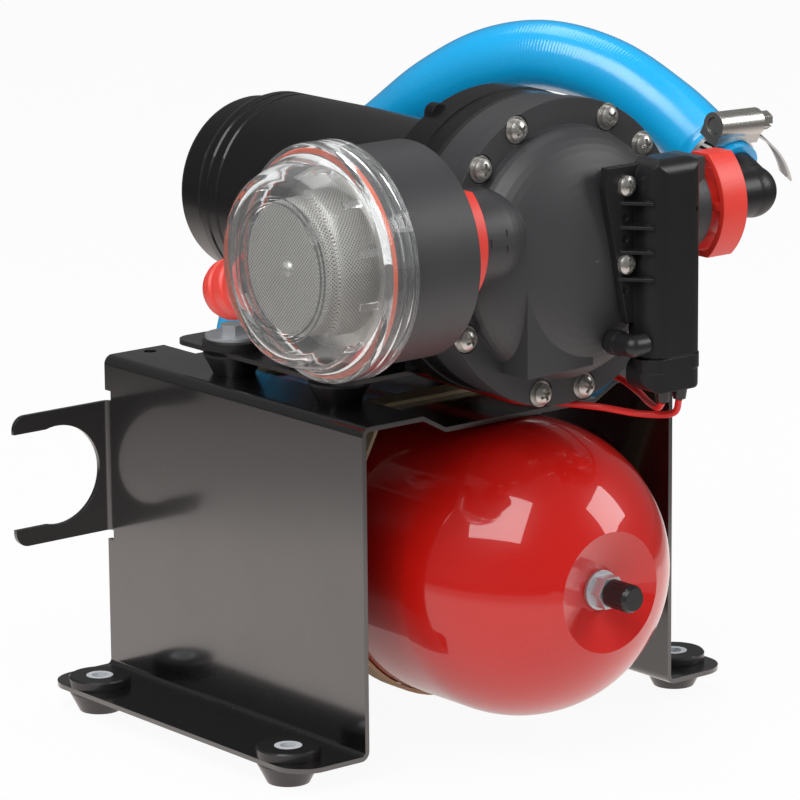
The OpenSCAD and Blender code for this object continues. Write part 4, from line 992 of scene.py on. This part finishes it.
@dataclass
class Strainer:
    """Clear strainer cap and the gauze basket behind it.

    Attributes:
        axis_y: place of the strainer's axis, with axis_z; all lengths are in millimetres.
        body_end: distance of the housing's open end to the left; cap_gap and basket_sunk are measured from it.
        radius: outer radius of the cap's wall where it leaves the collar.
        collar: outer radius of the collar; groove is the depth of its grooves.
        front: depth of the cap to its window; window is the window's thickness.
        seat: depth of the seal's seat.
        tabs: blocks inside the wall, with half width, inner and outer radius, and start and end along the axis.
        gauze_wide: radius of the basket at its rim; gauze_slim is that at its end.
        gauze_depth: depth of the basket; gauze_wall is the thickness of its wall, gauze_end that of its end.
        turns: points round the axis; rivet_turns is that of the small rivet.
    """

    axis_y: float = -114.5
    axis_z: float = 223.4
    body_end: float = 112.0
    radius: float = 42.8
    collar: float = 46.7
    front: float = 30.9
    seat: float = 10.8
    groove: float = 0.5
    window: float = 2.7
    cap_gap: float = 0.3
    tabs: int = 12
    tab_half: float = 1.4
    tab_radii: tuple[float, float] = (37.6, 38.9)
    tab_run: tuple[float, float] = (12.4, 21.4)
    tab_first: float = 15.0
    basket_sunk: float = 0.6
    gauze_wide: float = 28.4
    gauze_slim: float = 26.2
    gauze_depth: float = 26.4
    gauze_wall: float = 0.6
    gauze_end: float = 0.7
    rim_radius: float = 38.4
    rim_height: float = 1.4
    turns: int = 192
    rivet_turns: int = 48

    def origin(self, x: float) -> tuple[float, float, float]:
        """Point on the strainer axis at that distance to the left."""
        return (-x, self.axis_y, self.axis_z)

    def flat_uv(self, grid: Grid) -> Grid:
        """Lay a turned surface's UV flat across the strainer, so that a weave runs straight over it.

        Args:
            grid: the turned surface.

        Returns:
            The same surface with UV in millimetres across the strainer.
        """
        flat = grid.points[..., 1:3] / MM
        flat = np.concatenate([flat, flat[:, :1]], 1)
        return Grid(grid.points, grid.wrap, np.concatenate([flat, flat[:1]]))

    def basket(self) -> bpy.types.Object:
        """Make the gauze basket: a nearly straight wall and a flat end, with a plain rim and a rivet.

        Wall and end are profiles turned round the strainer axis; an inner skin runs just inside them.

        Returns:
            The gauze, in place of its plain solid.
        """
        wide, slim, deep = self.gauze_wide, self.gauze_slim, self.gauze_depth
        wall = rounded([
            [0.2, wide], [13.0, (wide + slim) / 2 + 0.2], [deep - 1.8, slim + 0.5], [deep - 0.4, slim],
            [deep - 0.1, slim - 1.2],
        ])
        end = np.array([[deep - 0.1, slim - 1.2], [deep, slim - 2.0], [deep, 0.0]])
        back = np.vstack([wall, end])[::-1] - np.array([[self.gauze_end, 0.0]])
        back[:, 1] = np.maximum(back[:, 1] - self.gauze_wall, 0.0)
        where, turned = self.origin(self.body_end - self.basket_sunk), (-1, 0, 0)
        inside = lathe(np.vstack([back, wall[:1]]), where, turned, self.turns)
        pieces = [
            lathe(wall, where, turned, self.turns), self.flat_uv(lathe(end, where, turned, self.turns)),
            self.flat_uv(inside),
        ]
        made = skin("gauze_basket", pieces, GAUZE)
        hole, thick = wide - self.gauze_wall, self.rim_height
        rim = np.array([[0.0, hole], [0.0, self.rim_radius], [thick, self.rim_radius], [thick, hole]])
        rivet = rounded([
            [deep - 0.4, 3.4], [deep + 0.2, 3.2], [deep + 1.2, 2.6], [deep + 1.8, 1.3], [deep + 1.9, 0.0],
        ])
        bare = [
            lathe(rim, where, turned, self.turns, wrap=True), lathe(rivet, where, turned, self.rivet_turns),
        ]
        fittings = skin("basket_fittings", bare, STAINLESS)
        for piece in (made, fittings):
            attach(piece, "frame")
        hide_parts("strainer_basket")
        log.info("strainer basket: gauze wall and end")
        return made

    def tab(self, turn: float) -> Grid:
        """One block inside the cap's wall, as a closed box of two rings of four corners and two closing points.

        Args:
            turn: place round the axis, in radians.

        Returns:
            The block's surface.
        """
        across = np.array([-1.0, 1.0, 1.0, -1.0]) * self.tab_half
        ring = np.stack([np.repeat(self.tab_radii, 2), across], -1)
        steps = np.repeat(self.tab_run, 2)
        spread = np.array([0.0, 1.0, 1.0, 0.0])[:, None, None]
        flat = ring.mean(axis=0) + spread * (ring - ring.mean(axis=0))[None]
        side = flat[..., 0] * math.cos(turn) - flat[..., 1] * math.sin(turn)
        rise = flat[..., 0] * math.sin(turn) + flat[..., 1] * math.cos(turn)
        along = np.broadcast_to(steps[:, None], side.shape)
        x = -(self.body_end + self.cap_gap) - along
        return Grid(np.stack([x, self.axis_y + side, self.axis_z + rise], -1) * MM, (False, True))

    def grooved(self, at: float) -> list[list[float]]:
        """Profile of one groove round the collar, which starts at that distance along the axis."""
        low = self.collar - self.groove
        return [[at, self.collar], [at + 0.3, low], [at + 0.9, low], [at + 1.2, self.collar]]

    def raised(self, radius: float) -> list[list[float]]:
        """Profile of one raised ring on the window, from that outer radius inwards."""
        top = self.front + 0.7
        return [[self.front, radius], [top, radius - 0.4], [top, radius - 1.1], [self.front, radius - 1.5]]

    def cap(self) -> bpy.types.Object:
        """Make the clear cap: ridged collar, tapering wall with blocks inside, window with two raised rings.

        It is one profile turned round the strainer axis, outside and then back along the inside.

        Returns:
            The cap, in place of its plain solid.
        """
        r, rim, front, seat = self.radius, self.collar, self.front, self.seat
        under = front - self.window
        outside = np.vstack([
            [[0.0, r + 0.9], [0.0, rim - 0.5]],
            rounded([[0.0, rim - 0.5], [0.1, rim], [0.8, rim]]),
            self.grooved(3.0), self.grooved(7.0),
            rounded([
                [11.6, rim], [13.2, rim - 0.4], [14.4, rim - 2.0], [15.2, r + 0.4], [17.0, r - 0.8],
                [22.0, r - 2.6], [26.0, r - 4.0], [front - 1.4, r - 5.4], [front, r - 7.0], [front, r - 9.5],
            ], 4),
            self.raised(28.4), self.raised(26.0), [[front, 0.0]],
        ])
        inside = np.vstack([
            [[under, 0.0], [under, r - 10.5]],
            rounded([
                [under, r - 10.5], [under - 0.2, r - 8.2], [under - 2.1, r - 7.0], [20.0, r - 4.6],
                [14.5, r - 3.5], [seat, r - 3.0],
            ], 4),
            [[seat, r + 0.8], [0.0, r + 0.9]],
        ])
        where = self.origin(self.body_end + self.cap_gap)
        turned = lathe(np.vstack([outside, inside]), where, (-1, 0, 0), self.turns)
        places = np.radians(self.tab_first + np.arange(self.tabs) * 360.0 / self.tabs)
        blocks = [self.tab(float(turn)) for turn in places]
        made = skin("clear_cap", [turned, *blocks], CLEAR_CAP, crease=30)
        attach(made, "strainer_cap")
        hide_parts("strainer_cap")
        log.info("strainer cap: clear collar, window and %d blocks", self.tabs)
        return made

    def build(self) -> None:
        """Build basket and cap."""
        self.basket()
        self.cap()


def dress_solids() -> None:
    """Give every CAD node its finish."""
    for name, finish in NODE_FINISH.items():
        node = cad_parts[name]
        node.data.materials.clear()
        node.data.materials.append(finish.material())
        log.info("%s: %s", name, finish.name)


def main() -> None:
    """Build the studio, the cords and the pieces in order."""
    logging.basicConfig(level=logging.INFO, format="%(message)s")
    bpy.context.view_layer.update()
    Studio().build()
    Hose().build()
    Wire("motor_lead", "motor_wire", MOTOR_WIRE).build()
    Wire("supply_lead", "supply_wire", SUPPLY_WIRE).build()
    dress_solids()
    HoseClamp().build()
    Strainer().build()


if __name__ == "__main__":
    main()
